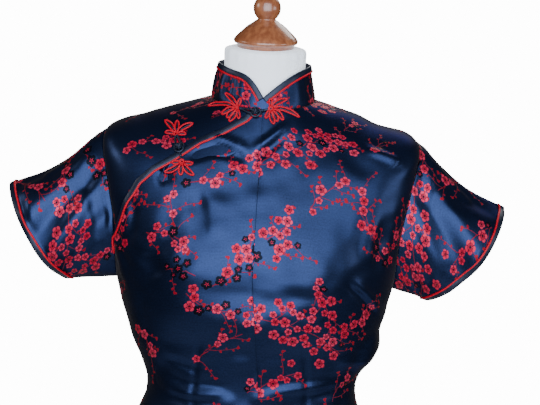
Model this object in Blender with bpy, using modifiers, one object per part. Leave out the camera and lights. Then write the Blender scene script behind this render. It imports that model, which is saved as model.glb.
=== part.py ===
"""Short-sleeved cheongsam dress, worn by a limbless dress form with a turned wooden cap, pole and foot.

Metres, +Z up, the front faces -Y. Left and right are the wearer's, so left is +X.
The origin is the middle of the foot's underside. The cloth is one curved surface,
read from a table of sections, and each sewn piece is a panel of that surface.
"""

import math
from collections import namedtuple

import bmesh
import bpy
import numpy as np
from mathutils import Vector
from mathutils.bvhtree import BVHTree

# Driving heights
SHOULDER_Z = 1.360  # where the collar meets the shoulder, at the side of the neck
HEM_Z = 0.430
SLIT_TOP_Z = 0.640
FORM_BOTTOM_Z = 0.740
CHEST_Z = 1.200
OVERLAP_END_Z = 1.214  # just above the overlap's meeting with the armhole

# Cloth and trimmings
WALL = 0.0012
SEAM_GAP = 0.0003
TRIM_GAP = 0.0004
BINDING_WIDTH = 0.0065
BINDING_WALL = 0.0008
PIPING_RADIUS = 0.0008
SLIT_OPENING = 0.010  # at the hem, each side of the side seam
COLLAR_HEIGHT = 0.043
COLLAR_TAPER = 0.0085
OVERLAP_LIFT = 0.0019
SLEEVE_SEAM = 0.0012
SLEEVE_SAG = 0.011

# Frog closures
FROG_CORD_RADIUS = 0.0010
FROG_CLEARANCE = 0.0004
KNOT_RADIUS = 0.0042
HUB_RADIUS = 0.0042  # where the petals' cords meet
HUB_SPREAD = 0.0006  # half the way between one petal's two cords there
PETAL_POINTS = 9

# Dress form and stand
POLE_RADIUS = 0.015
FOOT_RADIUS = 0.165
FOOT_HEIGHT = 0.024
CAP_GAP = 0.0003

# The cloth's outside, from hem to neck. side, front and back are the heights of one ring;
# depths are measured from mid, the y of the side seam, and square is a superellipse's power.
Section = namedtuple("Section", "side_z front_z back_z half_width front back mid square")
SECTIONS = (
    Section(0.430, 0.430, 0.430, 0.181, 0.112, 0.124, 0.000, 2.30),  # hem
    Section(0.640, 0.640, 0.640, 0.184, 0.113, 0.127, 0.000, 2.30),  # slit top
    Section(0.815, 0.815, 0.815, 0.178, 0.112, 0.128, 0.000, 2.25),  # hip
    Section(0.920, 0.920, 0.920, 0.158, 0.104, 0.114, 0.002, 2.20),  # high hip
    Section(0.992, 0.992, 0.992, 0.134, 0.096, 0.095, 0.004, 2.15),  # waist
    Section(1.060, 1.060, 1.060, 0.158, 0.109, 0.099, 0.006, 2.20),  # ribs
    Section(1.124, 1.142, 1.136, 0.174, 0.121, 0.105, 0.008, 2.35),  # bust and underarm
    Section(1.188, 1.192, 1.195, 0.186, 0.120, 0.109, 0.009, 2.50),  # chest
    Section(1.262, 1.232, 1.243, 0.198, 0.109, 0.108, 0.010, 2.60),  # armhole
    Section(1.314, 1.262, 1.284, 0.196, 0.097, 0.100, 0.010, 2.50),  # shoulder tip
    Section(1.338, 1.300, 1.322, 0.140, 0.081, 0.087, 0.010, 2.25),  # mid shoulder
    Section(1.360, 1.347, 1.366, 0.066, 0.060, 0.062, 0.010, 2.00),  # neckline
)
UNDERARM_ROW = 6
TIP_ROW = 9
NECK_ROW = 11
SHOULDER_ROUND = 1.6  # how fast a ring drops away from the top of the shoulder

# The form's own neck, above the dress's neckline
NECK_SECTIONS = (
    Section(1.374, 1.363, 1.380, 0.0530, 0.0500, 0.0520, 0.010, 2.0),
    Section(1.395, 1.388, 1.401, 0.0510, 0.0475, 0.0500, 0.008, 2.0),
    Section(1.418, 1.412, 1.424, 0.0510, 0.0485, 0.0500, 0.004, 2.0),
    Section(1.423, 1.418, 1.428, 0.0480, 0.0460, 0.0470, 0.004, 2.0),
)

# How far the armhole reaches round the ring from the side seam, in degrees
ARMHOLE_FRONT = 22.0
ARMHOLE_BACK = 20.0

# Bust points, rounded out over the sections
BUST_X, BUST_Z = 0.082, 1.150
BUST_SPREAD_X, BUST_SPREAD_Z = 0.056, 0.050
BUST_HEIGHT = 0.011

# The outer edge of the front's overlap, seen from the front: x out from the centre, z
OverlapPoint = namedtuple("OverlapPoint", "x z")
OVERLAP_EDGE = (
    OverlapPoint(0.000, SHOULDER_Z - 0.002),
    OverlapPoint(0.012, SHOULDER_Z - 0.011),
    OverlapPoint(0.022, SHOULDER_Z - 0.0215),
    OverlapPoint(0.050, SHOULDER_Z - 0.038),
    OverlapPoint(0.076, SHOULDER_Z - 0.050),
    OverlapPoint(0.106, SHOULDER_Z - 0.070),
    OverlapPoint(0.130, SHOULDER_Z - 0.084),
    OverlapPoint(0.148, SHOULDER_Z - 0.101),
    OverlapPoint(0.160, SHOULDER_Z - 0.124),
    OverlapPoint(0.169, SHOULDER_Z - 0.150),
    OverlapPoint(0.178, SHOULDER_Z - 0.180),
    OverlapPoint(0.190, SHOULDER_Z - 0.230),  # beyond the armhole
)

# The centre seam wanders a little with the cloth: sideways place at each height
SeamPoint = namedtuple("SeamPoint", "z x")
CENTRE_SEAM = (
    SeamPoint(0.43, 0.000),
    SeamPoint(0.90, 0.006),
    SeamPoint(1.00, 0.010),
    SeamPoint(1.08, 0.003),
    SeamPoint(1.15, -0.003),
    SeamPoint(1.30, 0.000),
    SeamPoint(1.36, 0.000),
)

# The largest soft folds: a ridge, or with a negative height a trough, along a line
Fold = namedtuple("Fold", "start end width height")
BODY_FOLDS = (
    Fold((0.026, -0.080, 1.325), (-0.010, -0.100, 1.300), 0.013, 0.0040),
    Fold((-0.010, -0.100, 1.300), (-0.050, -0.095, 1.312), 0.012, 0.0035),
    Fold((-0.125, -0.085, 1.285), (-0.070, -0.095, 1.297), 0.014, 0.0025),
    Fold((0.120, -0.080, 1.010), (0.010, -0.100, 0.998), 0.016, 0.0040),
    Fold((-0.120, -0.060, 1.004), (-0.030, -0.095, 0.992), 0.016, 0.0035),
    Fold((0.150, -0.030, 1.043), (0.150, 0.050, 1.040), 0.036, 0.0085),
    Fold((-0.140, 0.070, 1.050), (-0.050, 0.110, 1.040), 0.022, 0.0040),
    Fold((0.120, 0.080, 1.035), (0.030, 0.115, 1.046), 0.022, 0.0040),
    Fold((-0.170, -0.045, 1.180), (-0.164, -0.066, 1.115), 0.016, 0.0030),
    Fold((0.148, -0.030, 1.330), (0.148, 0.050, 1.332), 0.035, -0.0040),
    Fold((0.160, -0.060, 0.850), (0.060, -0.112, 0.870), 0.030, 0.0030),
    Fold((-0.160, -0.060, 0.860), (-0.050, -0.112, 0.875), 0.030, 0.0030),
)

# Sleeves: the top and bottom of each cuff seen from the front, its depth, and folds that
# run along the sleeve. along and round are shares: 0 at the armhole or the top, 1 at the
# cuff or back at the top; round 0.25 is the front.
Cuff = namedtuple("Cuff", "top_x top_z bottom_x bottom_z front back bulge")
LEFT_CUFF = Cuff(0.311, 1.2340, 0.219, 1.1110, -0.050, 0.064, 0.014)
RIGHT_CUFF = Cuff(0.316, 1.2380, 0.241, 1.1190, -0.050, 0.064, 0.006)
SleeveFold = namedtuple("SleeveFold", "along round along_end round_end width height")
LEFT_FOLDS = (
    SleeveFold(0.00, 0.06, 0.95, 0.19, 0.050, 0.0055),
    SleeveFold(0.25, 0.11, 1.00, 0.03, 0.045, -0.0040),
    SleeveFold(0.10, 0.94, 0.90, 0.86, 0.050, 0.0050),
)
RIGHT_FOLDS = (
    SleeveFold(0.00, 0.05, 0.85, 0.15, 0.050, 0.0060),
    SleeveFold(0.30, 0.24, 1.00, 0.31, 0.055, 0.0040),
    SleeveFold(0.10, 0.94, 0.90, 0.88, 0.050, 0.0050),
)

# A frog's flower: cord petals that leave one knot, each with its direction, length,
# half-width and sideways curl
Petal = namedtuple("Petal", "direction length half_width curl")
COLLAR_PETALS = (
    Petal(96, 0.0095, 0.0014, 0.00),
    Petal(38, 0.0215, 0.0024, -0.10),
    Petal(2, 0.0330, 0.0022, -0.42),
    Petal(-30, 0.0175, 0.0030, -0.10),
    Petal(-66, 0.0210, 0.0030, 0.30),
    Petal(-100, 0.0165, 0.0016, 0.00),
)
CHEST_PETALS = (
    Petal(160, 0.0120, 0.0016, 0.10),
    Petal(118, 0.0200, 0.0028, 0.28),
    Petal(80, 0.0150, 0.0026, 0.00),
    Petal(46, 0.0230, 0.0028, -0.22),
    Petal(10, 0.0110, 0.0016, 0.00),
)
Flower = namedtuple("Flower", "name hub_x hub_z turn mirrored petals")
FLOWERS = (
    Flower("collar_frog_left", 0.0095, 1.3515, -6, False, COLLAR_PETALS),
    Flower("collar_frog_right", -0.0305, 1.3500, -8, True, COLLAR_PETALS),
    Flower("chest_frog_upper", -0.1045, 1.3145, 4, False, CHEST_PETALS),
    Flower("chest_frog_lower", -0.0945, 1.2840, 184, False, CHEST_PETALS),
)
# The ball button is carried by one flower's cord, and the other's makes the loop round it
Knot = namedtuple("Knot", "name x z stem_flower loop_flower")
KNOTS = (
    Knot("collar_frog_ball", -0.0085, 1.3460, "collar_frog_left", "collar_frog_right"),
    Knot("chest_frog_ball", -0.0990, 1.3000, "chest_frog_lower", "chest_frog_upper"),
)

Finish = namedtuple("Finish", "red green blue roughness metallic")
SATIN_BROCADE = Finish(0.012, 0.022, 0.060, 0.34, 0.0)
SATIN_BINDING = Finish(0.020, 0.024, 0.040, 0.40, 0.0)
RED_CORD = Finish(0.600, 0.020, 0.025, 0.45, 0.0)
JERSEY = Finish(0.820, 0.830, 0.860, 0.85, 0.0)
TURNED_WOOD = Finish(0.330, 0.120, 0.045, 0.32, 0.0)

FINE_STEPS = 120  # points along a ring, from which a panel's columns are read


def clear_scene():
    for existing in list(bpy.data.objects):
        bpy.data.objects.remove(existing, do_unlink=True)


def new_collection(name):
    collection = bpy.data.collections.new(name)
    bpy.context.scene.collection.children.link(collection)
    return collection


def new_material(name, finish):
    material = bpy.data.materials.new(name)
    material.use_nodes = True
    shader = material.node_tree.nodes["Principled BSDF"]
    shader.inputs["Base Color"].default_value = (*finish[:3], 1.0)
    shader.inputs["Roughness"].default_value = finish.roughness
    shader.inputs["Metallic"].default_value = finish.metallic
    material.diffuse_color = (*finish[:3], 1.0)
    return material


def smooth_step(share):
    share = min(max(share, 0.0), 1.0)
    return share * share * (3 - 2 * share)


# The cloth's surface


def section_at(row, table=SECTIONS):
    """The section at a row of the table, read between rows as a smooth curve."""
    last = len(table) - 1
    row = min(max(row, 0.0), last)
    low = min(int(row), last - 1)
    share = row - low
    before, start, end, after = (
        np.array(table[min(max(index, 0), last)]) for index in range(low - 1, low + 3)
    )
    curve = (
        2 * start
        + (end - before) * share
        + (2 * before - 5 * start + 4 * end - after) * share**2
        + (3 * start - before - 3 * end + after) * share**3
    ) / 2
    return Section(*curve)


def ring_point(section, angle):
    """A point of a ring. The angle is 0 at the front, 90 degrees at the left, 180 at the back."""
    forward, sideways = math.cos(angle), math.sin(angle)
    power = 2 / section.square
    x = section.half_width * math.copysign(abs(sideways) ** power, sideways)
    depth = -section.front if forward > 0 else section.back
    y = section.mid + depth * abs(forward) ** power
    drop = abs(forward) ** SHOULDER_ROUND
    end_z = section.front_z if forward > 0 else section.back_z
    z = section.side_z + (end_z - section.side_z) * drop
    if forward > 0:
        spread_x = (abs(x) - BUST_X) / BUST_SPREAD_X
        spread_z = (z - BUST_Z) / BUST_SPREAD_Z
        y -= BUST_HEIGHT * math.exp(-(spread_x**2) - spread_z**2)
    return (x, y, z)


def ring(section, first_angle, last_angle):
    """Fine points of a ring between two angles, and each one's distance along it."""
    angles = np.linspace(first_angle, last_angle, FINE_STEPS + 1)
    points = np.array([ring_point(section, angle) for angle in angles])
    steps = np.linalg.norm(np.diff(points, axis=0), axis=1)
    return points, np.concatenate([[0.0], np.cumsum(steps)])


def read_along(points, distances, places):
    return np.array(
        [[np.interp(place, distances, points[:, axis]) for axis in range(3)] for place in places]
    )


def armhole_angle(row, widest):
    """How far the armhole's edge lies from the side seam at a row, in radians."""
    share = (row - UNDERARM_ROW) / (TIP_ROW - UNDERARM_ROW)
    if share <= 0 or share >= 1:
        return 0.0
    return math.radians(widest) * math.sin(math.pi * share) ** 0.6


def seam_opening(row):
    """Half the gap between front and back at the side, which widens down the slit."""
    height = section_at(row).side_z
    share = (SLIT_TOP_Z - height) / (SLIT_TOP_Z - HEM_Z)
    return SEAM_GAP / 2 + SLIT_OPENING * smooth_step(share)


def row_at_height(side_z):
    """The row whose ring has this height at the side."""
    low, high = 0.0, float(NECK_ROW)
    for _ in range(40):
        middle = (low + high) / 2
        if section_at(middle).side_z < side_z:
            low = middle
        else:
            high = middle
    return (low + high) / 2


def centre_seam_x(height):
    return float(
        np.interp(height, [point.z for point in CENTRE_SEAM], [point.x for point in CENTRE_SEAM])
    )


def overlap_z(x):
    """Height of the overlap's outer edge at a distance x from the centre."""
    return float(
        np.interp(x, [point.x for point in OVERLAP_EDGE], [point.z for point in OVERLAP_EDGE])
    )


def distance_to_line(point, start, end):
    start, end = np.array(start), np.array(end)
    along = end - start
    share = np.clip(np.dot(point - start, along) / np.dot(along, along), 0, 1)
    return np.linalg.norm(point - start - share * along)


def soft_bump(distance, width):
    share = min(distance / width, 1.0)
    return (1 - share**2) ** 2


def body_folds(point):
    return sum(
        fold.height * soft_bump(distance_to_line(point, fold.start, fold.end), fold.width)
        for fold in BODY_FOLDS
    )


def overlap_distance(point):
    """How far a point lies from the overlap's edge, seen from the front."""
    return min(
        distance_to_line(point[[0, 2]], (-start.x, start.z), (-end.x, end.z))
        for start, end in zip(OVERLAP_EDGE[:-1], OVERLAP_EDGE[1:])
    )


def overlap_lift(point):
    """The main front rides over the piece beneath it along the overlap's edge."""
    return OVERLAP_LIFT * (1 - smooth_step((overlap_distance(point) - 0.034) / 0.030))


def grid_normals(points):
    """Outward directions of a grid whose columns run round the body and rows run up."""
    along_columns = np.gradient(points, axis=1)
    along_rows = np.gradient(points, axis=0)
    normals = np.cross(along_columns, along_rows)
    lengths = np.linalg.norm(normals, axis=2, keepdims=True)
    return normals / np.maximum(lengths, 1e-12)


def outward(point):
    """The way out of the body at a point: the same on both sides of every seam."""
    above_chest = max(0.0, point[2] - CHEST_Z)
    way = (point - np.array((0.0, 0.008, 0.0))) / np.array((0.17, 0.11, 1.0)) ** 2
    way[2] = above_chest / 0.20**2
    return way / np.linalg.norm(way)


def with_relief(points, relief):
    """The grid moved out by relief(point) at each point."""
    return np.apply_along_axis(lambda point: point + outward(point) * relief(point), 2, points)


# Panels: each is a grid of points, in rows that go up and columns that go round


BODY_HEIGHTS = (0.52, SLIT_TOP_Z, 0.73, 0.815, 0.87, 0.925, 0.965, 0.99, 1.012, 1.036, 1.064, 1.095)
BODY_ROWS = (
    0.0,
    row_at_height(HEM_Z + BINDING_WIDTH),
    *(row_at_height(height) for height in BODY_HEIGHTS),
)
YOKE_ROWS = (6.0, 6.4, 6.8, 7.2, 7.6, 8.0, 8.4, 8.7, 9.0, 9.4, 9.8, 10.2, 10.6, 11.0)
EVERY_ROW = BODY_ROWS + YOKE_ROWS
SLIT_ROWS = EVERY_ROW.index(row_at_height(SLIT_TOP_Z))
PANEL_COLUMNS = 11
BACK_COLUMNS = 18
SLANTED_STEPS = 9  # rows from the underarm to the overlap's binding
UNDER_STEPS = 5  # rows from there to the shoulder tip, and on to the neck


def front_ring(row):
    """Points of the front from the right side to the left, with distances from the centre."""
    edge = math.pi / 2 - armhole_angle(row, ARMHOLE_FRONT)
    points, distances = ring(section_at(row), -edge, edge)
    return points, distances - distances[FINE_STEPS // 2]


def side_shares(first, last, count):
    """Places from first to last, with one a binding's width before the last."""
    turn = BINDING_WIDTH if last > first else -BINDING_WIDTH
    return [*np.linspace(first, last - turn, count - 1), last]


def front_row(row, side):
    """One row of the left (side 1) or right (side -1) front, from the centre seam outwards."""
    points, distances = front_ring(row)
    edge = distances[-1] - seam_opening(row)
    start = centre_seam_x(section_at(row).front_z) + side * SEAM_GAP / 2
    return read_along(points, distances, side_shares(start, side * edge, PANEL_COLUMNS))


def right_point(row, share):
    """A point of the right front at a share of the way from the centre seam to the side."""
    points, distances = front_ring(row)
    start = centre_seam_x(section_at(row).front_z) - SEAM_GAP / 2
    edge = seam_opening(row) - distances[-1]
    return read_along(points, distances, [start + (edge - start) * share])[0]


def find_row(is_below, low, high):
    """The row at which is_below turns false."""
    for _ in range(30):
        middle = (low + high) / 2
        if is_below(middle):
            low = middle
        else:
            high = middle
    return (low + high) / 2


def overlap_row(share):
    """The row at which a column of the right front meets the overlap's edge."""

    def is_below(row):
        x, _, z = right_point(row, share)
        return z < overlap_z(-x)

    return find_row(is_below, float(UNDERARM_ROW), float(NECK_ROW))


def binding_row(share, top):
    """The row at which a column lies a binding's width below the overlap's edge."""
    end = right_point(top, share)

    def is_below(row):
        point = right_point(row, share)
        return min(overlap_distance(point), np.linalg.norm(point - end)) > BINDING_WIDTH

    return find_row(is_below, float(UNDERARM_ROW), top)


def slanted_rows(share):
    """A column's rows from the underarm up to the binding's inner line, then the edge."""
    top = overlap_row(share)
    return [*np.linspace(UNDERARM_ROW, binding_row(share, top), SLANTED_STEPS), top]


def right_shares():
    places = np.array(side_shares(0.0, front_ring(UNDERARM_ROW)[1][-1], PANEL_COLUMNS))
    return places / places[-1]


def front_left_grid():
    rows = np.array([front_row(row, 1) for row in EVERY_ROW])
    return with_relief(rows, lambda point: body_folds(point) + overlap_lift(point))


def front_right_grid():
    """The right front. Above the bust its rows close up to end on the overlap's slanting edge."""
    rows = [front_row(row, -1) for row in BODY_ROWS]
    columns = [[right_point(row, share) for row in slanted_rows(share)] for share in right_shares()]
    rows += zip(*columns)
    rows = np.array(rows)[:, ::-1]
    return with_relief(rows, lambda point: body_folds(point) + overlap_lift(point))


def under_front_grid():
    """The right shoulder piece. Its lower edge goes on beneath the overlap."""
    side_top = overlap_row(1.0)
    tip = (TIP_ROW - side_top) / (NECK_ROW - side_top)
    climbs = [*np.linspace(0, tip, UNDER_STEPS)[1:], *np.linspace(tip, 1, UNDER_STEPS)[1:]]
    columns = []
    for share in right_shares()[1:]:
        hidden = slanted_rows(share)[-3:]
        shown = [hidden[-1] + (NECK_ROW - hidden[-1]) * climb for climb in climbs]
        columns.append([right_point(row, share) for row in (*hidden, *shown)])
    return with_relief(np.array(columns).transpose(1, 0, 2)[:, ::-1], body_folds)


def back_grid():
    rows = []
    for row in EVERY_ROW:
        edge = math.pi / 2 + armhole_angle(row, ARMHOLE_BACK)
        points, distances = ring(section_at(row), edge, 2 * math.pi - edge)
        opening = seam_opening(row)
        first, last = opening, distances[-1] - opening
        inner = np.linspace(first + BINDING_WIDTH, last - BINDING_WIDTH, BACK_COLUMNS - 2)
        rows.append(read_along(points, distances, [first, *inner, last]))
    return with_relief(np.array(rows), body_folds)


# Sleeves


SLEEVE_HALF = 9  # points from the underarm to the shoulder tip, front or back
SLEEVE_STEPS = 7  # rows from the armhole to the cuff's binding


def armhole_loop(side):
    """The armhole's edge from the shoulder tip round the front, underarm and back."""
    shares = np.linspace(0, 1, SLEEVE_HALF + 1)
    rows = [TIP_ROW + (UNDERARM_ROW - TIP_ROW) * share for share in shares]
    loop = []
    for row in rows:
        angle = math.pi / 2 - armhole_angle(row, ARMHOLE_FRONT)
        loop.append(ring_point(section_at(row), side * angle))
    for row in rows[-2:0:-1]:
        angle = math.pi / 2 + armhole_angle(row, ARMHOLE_BACK)
        loop.append(ring_point(section_at(row), side * angle))
    return np.array(loop)


def armhole_relief(point):
    """Below the overlap's end the sleeve's seam follows the lifted main front."""
    if point[0] > 0:
        return 0.0
    return overlap_lift(point) * smooth_step((OVERLAP_END_Z - point[2]) / 0.015)


def cuff_loop(cuff, side, count):
    """The sleeve's hem, from its top round the front, bottom and back."""
    top = np.array((side * cuff.top_x, 0.008, cuff.top_z))
    bottom = np.array((side * cuff.bottom_x, 0.008, cuff.bottom_z))
    centre, half = (top + bottom) / 2, (top - bottom) / 2
    outward = np.array((side * half[2], 0.0, -abs(half[0])))
    outward /= np.linalg.norm(outward)
    loop = []
    for index in range(count):
        turn = 2 * math.pi * index / count
        across = math.sin(turn)
        depth = -cuff.front if across > 0 else cuff.back
        depth *= abs(across) ** 1.2
        point = centre + half * math.cos(turn) + np.array((0.0, -math.copysign(depth, across), 0.0))
        loop.append(point + outward * cuff.bulge * across**2)
    return np.array(loop)


def sleeve_relief(folds, along, turn):
    """How far the sleeve's folds move it out at a place along and round it."""
    moved = 0.0
    for fold in folds:
        start = np.array((fold.along, fold.round))
        end = np.array((fold.along_end, fold.round_end))
        near = distance_to_line(np.array((along, turn)), start, end)
        fade = smooth_step(along / 0.25) if fold.along < 0.05 else 1.0
        moved += fade * fold.height * soft_bump(near, fold.width * 2)
    return moved


def sleeve_column(start, end, middle, turn, folds):
    """One line down the sleeve. The top sags a little, where no arm fills it."""
    radial = (start - middle) * np.array((0.0, 1.0, 1.0))
    radial /= np.linalg.norm(radial)
    topness = max(0.0, math.cos(2 * math.pi * turn)) ** 2
    binding = 1 - BINDING_WIDTH / np.linalg.norm(end - start)
    line = []
    for along in (*np.linspace(0, binding, SLEEVE_STEPS), 1.0):
        sag = SLEEVE_SAG * topness * math.sin(math.pi * along) ** 1.3
        moved = sleeve_relief(folds, along, turn) - sag
        line.append(start + (end - start) * along + radial * moved)
    return line


def sleeve_grid(cuff, folds, side):
    """A tube from the armhole to the cuff."""
    inner = with_relief(armhole_loop(side)[None], armhole_relief)[0]
    outer = cuff_loop(cuff, side, len(inner))
    middle = inner.mean(axis=0)
    inner = inner + np.array((side * 1.0, 0.0, -0.35)) * SLEEVE_SEAM
    columns = [
        sleeve_column(start, end, middle, index / len(inner), folds)
        for index, (start, end) in enumerate(zip(inner, outer))
    ]
    grid = np.array([*columns, columns[0]]).transpose(1, 0, 2)
    return grid if side > 0 else grid[:, ::-1]


# Collar


COLLAR_COLUMNS = 34
COLLAR_FRONT_HEIGHT = 0.015
COLLAR_ROUND_LEFT = 0.075
COLLAR_ROUND_RIGHT = 0.040
COLLAR_LEVELS = (0.0, 0.31, 0.62, 1.0)  # shares of the height below the binding


def collar_heights(distance, length):
    """Heights up the collar at a distance round from its left front end."""
    from_left, from_right = distance, length - distance
    drop_left = max(0.0, 1 - from_left / COLLAR_ROUND_LEFT) ** 2.4
    drop_right = max(0.0, 1 - from_right / COLLAR_ROUND_RIGHT) ** 2.4
    top = COLLAR_HEIGHT - (COLLAR_HEIGHT - COLLAR_FRONT_HEIGHT) * max(drop_left, drop_right)
    return [*((top - BINDING_WIDTH) * level for level in COLLAR_LEVELS), top]


def neckline_relief(point):
    """The collar follows the main front's lift until it passes on to the piece beneath."""
    return overlap_lift(point) * smooth_step((point[0] + 0.034) / 0.024)


def collar_grid():
    """A band that stands on the neckline, from the left front end round the back."""
    points, distances = ring(SECTIONS[NECK_ROW], 0.0, 2 * math.pi)
    length = distances[-1]
    even = np.linspace(0, 1, COLLAR_COLUMNS)
    nearer_the_ends = 0.5 - 0.5 * np.cos(math.pi * even)
    ends = SEAM_GAP * 2
    places = ends + (length - 2 * ends) * (even + nearer_the_ends) / 2
    base = with_relief(read_along(points, distances, places)[None], neckline_relief)[0]
    centre = np.array((0.0, SECTIONS[NECK_ROW].mid, 0.0))
    columns = []
    for place, point in zip(places, base):
        radial = (point - centre) * np.array((1.0, 1.0, 0.0))
        radial *= COLLAR_TAPER / COLLAR_HEIGHT / np.linalg.norm(radial)
        slant = np.array((0.0, 0.0, 1.0)) - radial
        foot = point + np.array((0.0, 0.0, 1.5 * SEAM_GAP))
        columns.append([foot + slant * height for height in collar_heights(place, length)])
    return np.array(columns).transpose(1, 0, 2)


# Making Blender objects from the grids


def grid_mesh(points):
    """A bmesh grid with its vertices placed on the given rows and columns."""
    rows, columns = points.shape[:2]
    mesh = bmesh.new()
    bmesh.ops.create_grid(mesh, x_segments=columns - 1, y_segments=rows - 1, size=0.5)
    mesh.verts.ensure_lookup_table()
    for vertex, point in zip(mesh.verts, points.reshape(-1, 3)):
        vertex.co = point
    return mesh


def object_from(mesh, name, finish, collection):
    data = bpy.data.meshes.new(name)
    mesh.to_mesh(data)
    mesh.free()
    data.materials.append(new_material(name, finish))
    data.shade_smooth()
    made = bpy.data.objects.new(name, data)
    collection.objects.link(made)
    return made


def thicken(made, wall):
    """Gives an open surface its wall, inwards from the outside face."""
    solidify = made.modifiers.new("wall", "SOLIDIFY")
    solidify.thickness = wall
    solidify.offset = -1.0
    solidify.use_even_offset = True
    return made


def panel(name, points, finish, collection, wall=WALL):
    mesh = grid_mesh(points)
    bmesh.ops.remove_doubles(mesh, verts=mesh.verts, dist=1e-6)
    return thicken(object_from(mesh, name, finish, collection), wall)


def tube(name, points, radius, finish, collection):
    """A cord or piping of square section along a row of points."""
    curve = bpy.data.curves.new(name, "CURVE")
    curve.dimensions = "3D"
    curve.bevel_depth = radius
    curve.bevel_resolution = 0
    curve.use_fill_caps = True
    spline = curve.splines.new("POLY")
    spline.points.add(len(points) - 1)
    for place, point in zip(spline.points, points):
        place.co = (*point, 1.0)
    curve.materials.append(new_material(name, finish))
    made = bpy.data.objects.new(name, curve)
    collection.objects.link(made)
    return made


# Trimmings that lie on a panel are made from its points, moved out


def row_path(grid):
    """Grid places along a panel's last row, and along the row a binding's width in."""
    last, columns = grid.shape[0] - 1, range(grid.shape[1])
    return [(last, column) for column in columns], [(last - 1, column) for column in columns]


def hem_path(grid):
    """Grid places down one slit, along the hem and up the other: the edge, and one line in."""
    last = grid.shape[1] - 1
    slit = range(2, SLIT_ROWS + 1)
    outer = [(row, 0) for row in reversed(slit)]
    outer += [(0, column) for column in range(last + 1)]
    outer += [(row, last) for row in slit]
    inner = [(max(row, 1), min(max(column, 1), last - 1)) for row, column in outer]
    return outer, inner


def edge_lines(grid, path):
    """Points and outward directions of a panel's edge line and the line a binding's width in."""
    normals = grid_normals(grid)
    return [
        (np.array([grid[place] for place in line]), np.array([normals[place] for place in line]))
        for line in path
    ]


def shortened(lines, amount):
    """The lines with both ends drawn back, clear of the pieces that the edge runs into."""
    for points, _ in lines:
        for end, neighbour in ((0, 1), (-1, -2)):
            way = points[neighbour] - points[end]
            points[end] += way * amount / np.linalg.norm(way)
    return lines


def add_binding(name, lines, finish, collection):
    (outer, outer_normals), (inner, inner_normals) = lines
    lift = TRIM_GAP + BINDING_WALL
    short = (PIPING_RADIUS + 2 * TRIM_GAP) / BINDING_WIDTH
    inner_edge = inner + (outer - inner) * short
    points = np.array([inner_edge + inner_normals * lift, outer + outer_normals * lift])
    return panel(name, points, finish, collection, BINDING_WALL)


def trimmed_band(lines):
    """The outside of an edge's binding and piping, as a grid."""
    (outer, outer_normals), (inner, inner_normals) = lines
    outer = outer + outer_normals * (TRIM_GAP + BINDING_WALL)
    inner = inner + inner_normals * (TRIM_GAP + PIPING_RADIUS * 1.8)
    return np.array([outer, inner])


def add_piping(name, lines, finish, collection):
    inner, normals = lines[1]
    route = inner + normals * (TRIM_GAP + PIPING_RADIUS)
    return tube(name, route, PIPING_RADIUS, finish, collection)


def add_trim(name, grid, path, collection, drawn_back=0.0):
    """The binding and piping of an edge. Returns the outside of both as a grid."""
    lines = shortened(edge_lines(grid, path), drawn_back)
    add_binding(name + "_binding", lines, SATIN_BINDING, collection)
    add_piping(name + "_piping", lines, RED_CORD, collection)
    return trimmed_band(lines)


def joined_fronts(left, right):
    """The rows that both fronts share below the bust, as one grid from right to left."""
    rows = len(BODY_ROWS)
    return np.concatenate([right[:rows], left[:rows, 1:]], axis=1)


# Frog closures


class Front:
    """Finds the outermost cloth in front of a point, seen along +Y."""

    def __init__(self, grids):
        vertices, faces = [], []
        for grid in grids:
            rows, columns = grid.shape[:2]
            first = len(vertices)
            vertices += [Vector(point) for point in grid.reshape(-1, 3)]
            for row in range(rows - 1):
                for column in range(columns - 1):
                    corner = first + row * columns + column
                    faces.append((corner, corner + 1, corner + columns + 1, corner + columns))
        self.tree = BVHTree.FromPolygons(vertices, faces)

    def depth(self, x, z):
        hit, _, _, _ = self.tree.ray_cast(Vector((x, -1.0, z)), Vector((0.0, 1.0, 0.0)))
        return hit.y if hit else None

    def beside(self, x, z, clearance):
        """The point that lies over the cloth at a place, square to it."""
        hit, normal, _, _ = self.tree.ray_cast(Vector((x, -1.0, z)), Vector((0.0, 1.0, 0.0)))
        if hit is None:
            edge, _, _, _ = self.tree.find_nearest(Vector((x, -0.06, z)))
            return Vector((x, edge.y - clearance, z))
        if normal.y > 0:
            normal.negate()
        return hit + normal * clearance

    def over(self, route, clearance):
        """A route given as (x, z), laid on the cloth and pushed forward wherever it comes close."""
        points = [self.beside(x, z, clearance) for x, z in route]
        for _ in range(16):
            for start, end in zip(points[:-1], points[1:]):
                for share in (0.0, 0.25, 0.5, 0.75, 1.0):
                    distance = self.tree.find_nearest(start.lerp(end, share))[3]
                    if distance < clearance:
                        start.y -= clearance - distance
                        end.y -= clearance - distance
        return points

    def room(self, points, radius):
        """The least distance between the cloth and a cord or ball about some points."""
        return min(self.tree.find_nearest(point)[3] for point in points) - radius

    def resting_plane(self, places):
        """The plane nearest to the cloth about some places, moved out until it clears it."""
        samples = []
        for x, z in places:
            for dx in (-0.002, 0.002):
                for dz in (-0.002, 0.002):
                    depth = self.depth(x + dx, z + dz)
                    if depth is not None:
                        samples.append((x + dx, z + dz, depth))
        samples = np.array(samples)
        known = np.column_stack([samples[:, :2], np.ones(len(samples))])
        slopes, *_ = np.linalg.lstsq(known, samples[:, 2], rcond=None)
        outermost = (samples[:, 2] - known @ slopes).min()
        return lambda place: slopes[0] * place[0] + slopes[1] * place[1] + slopes[2] + outermost


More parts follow.
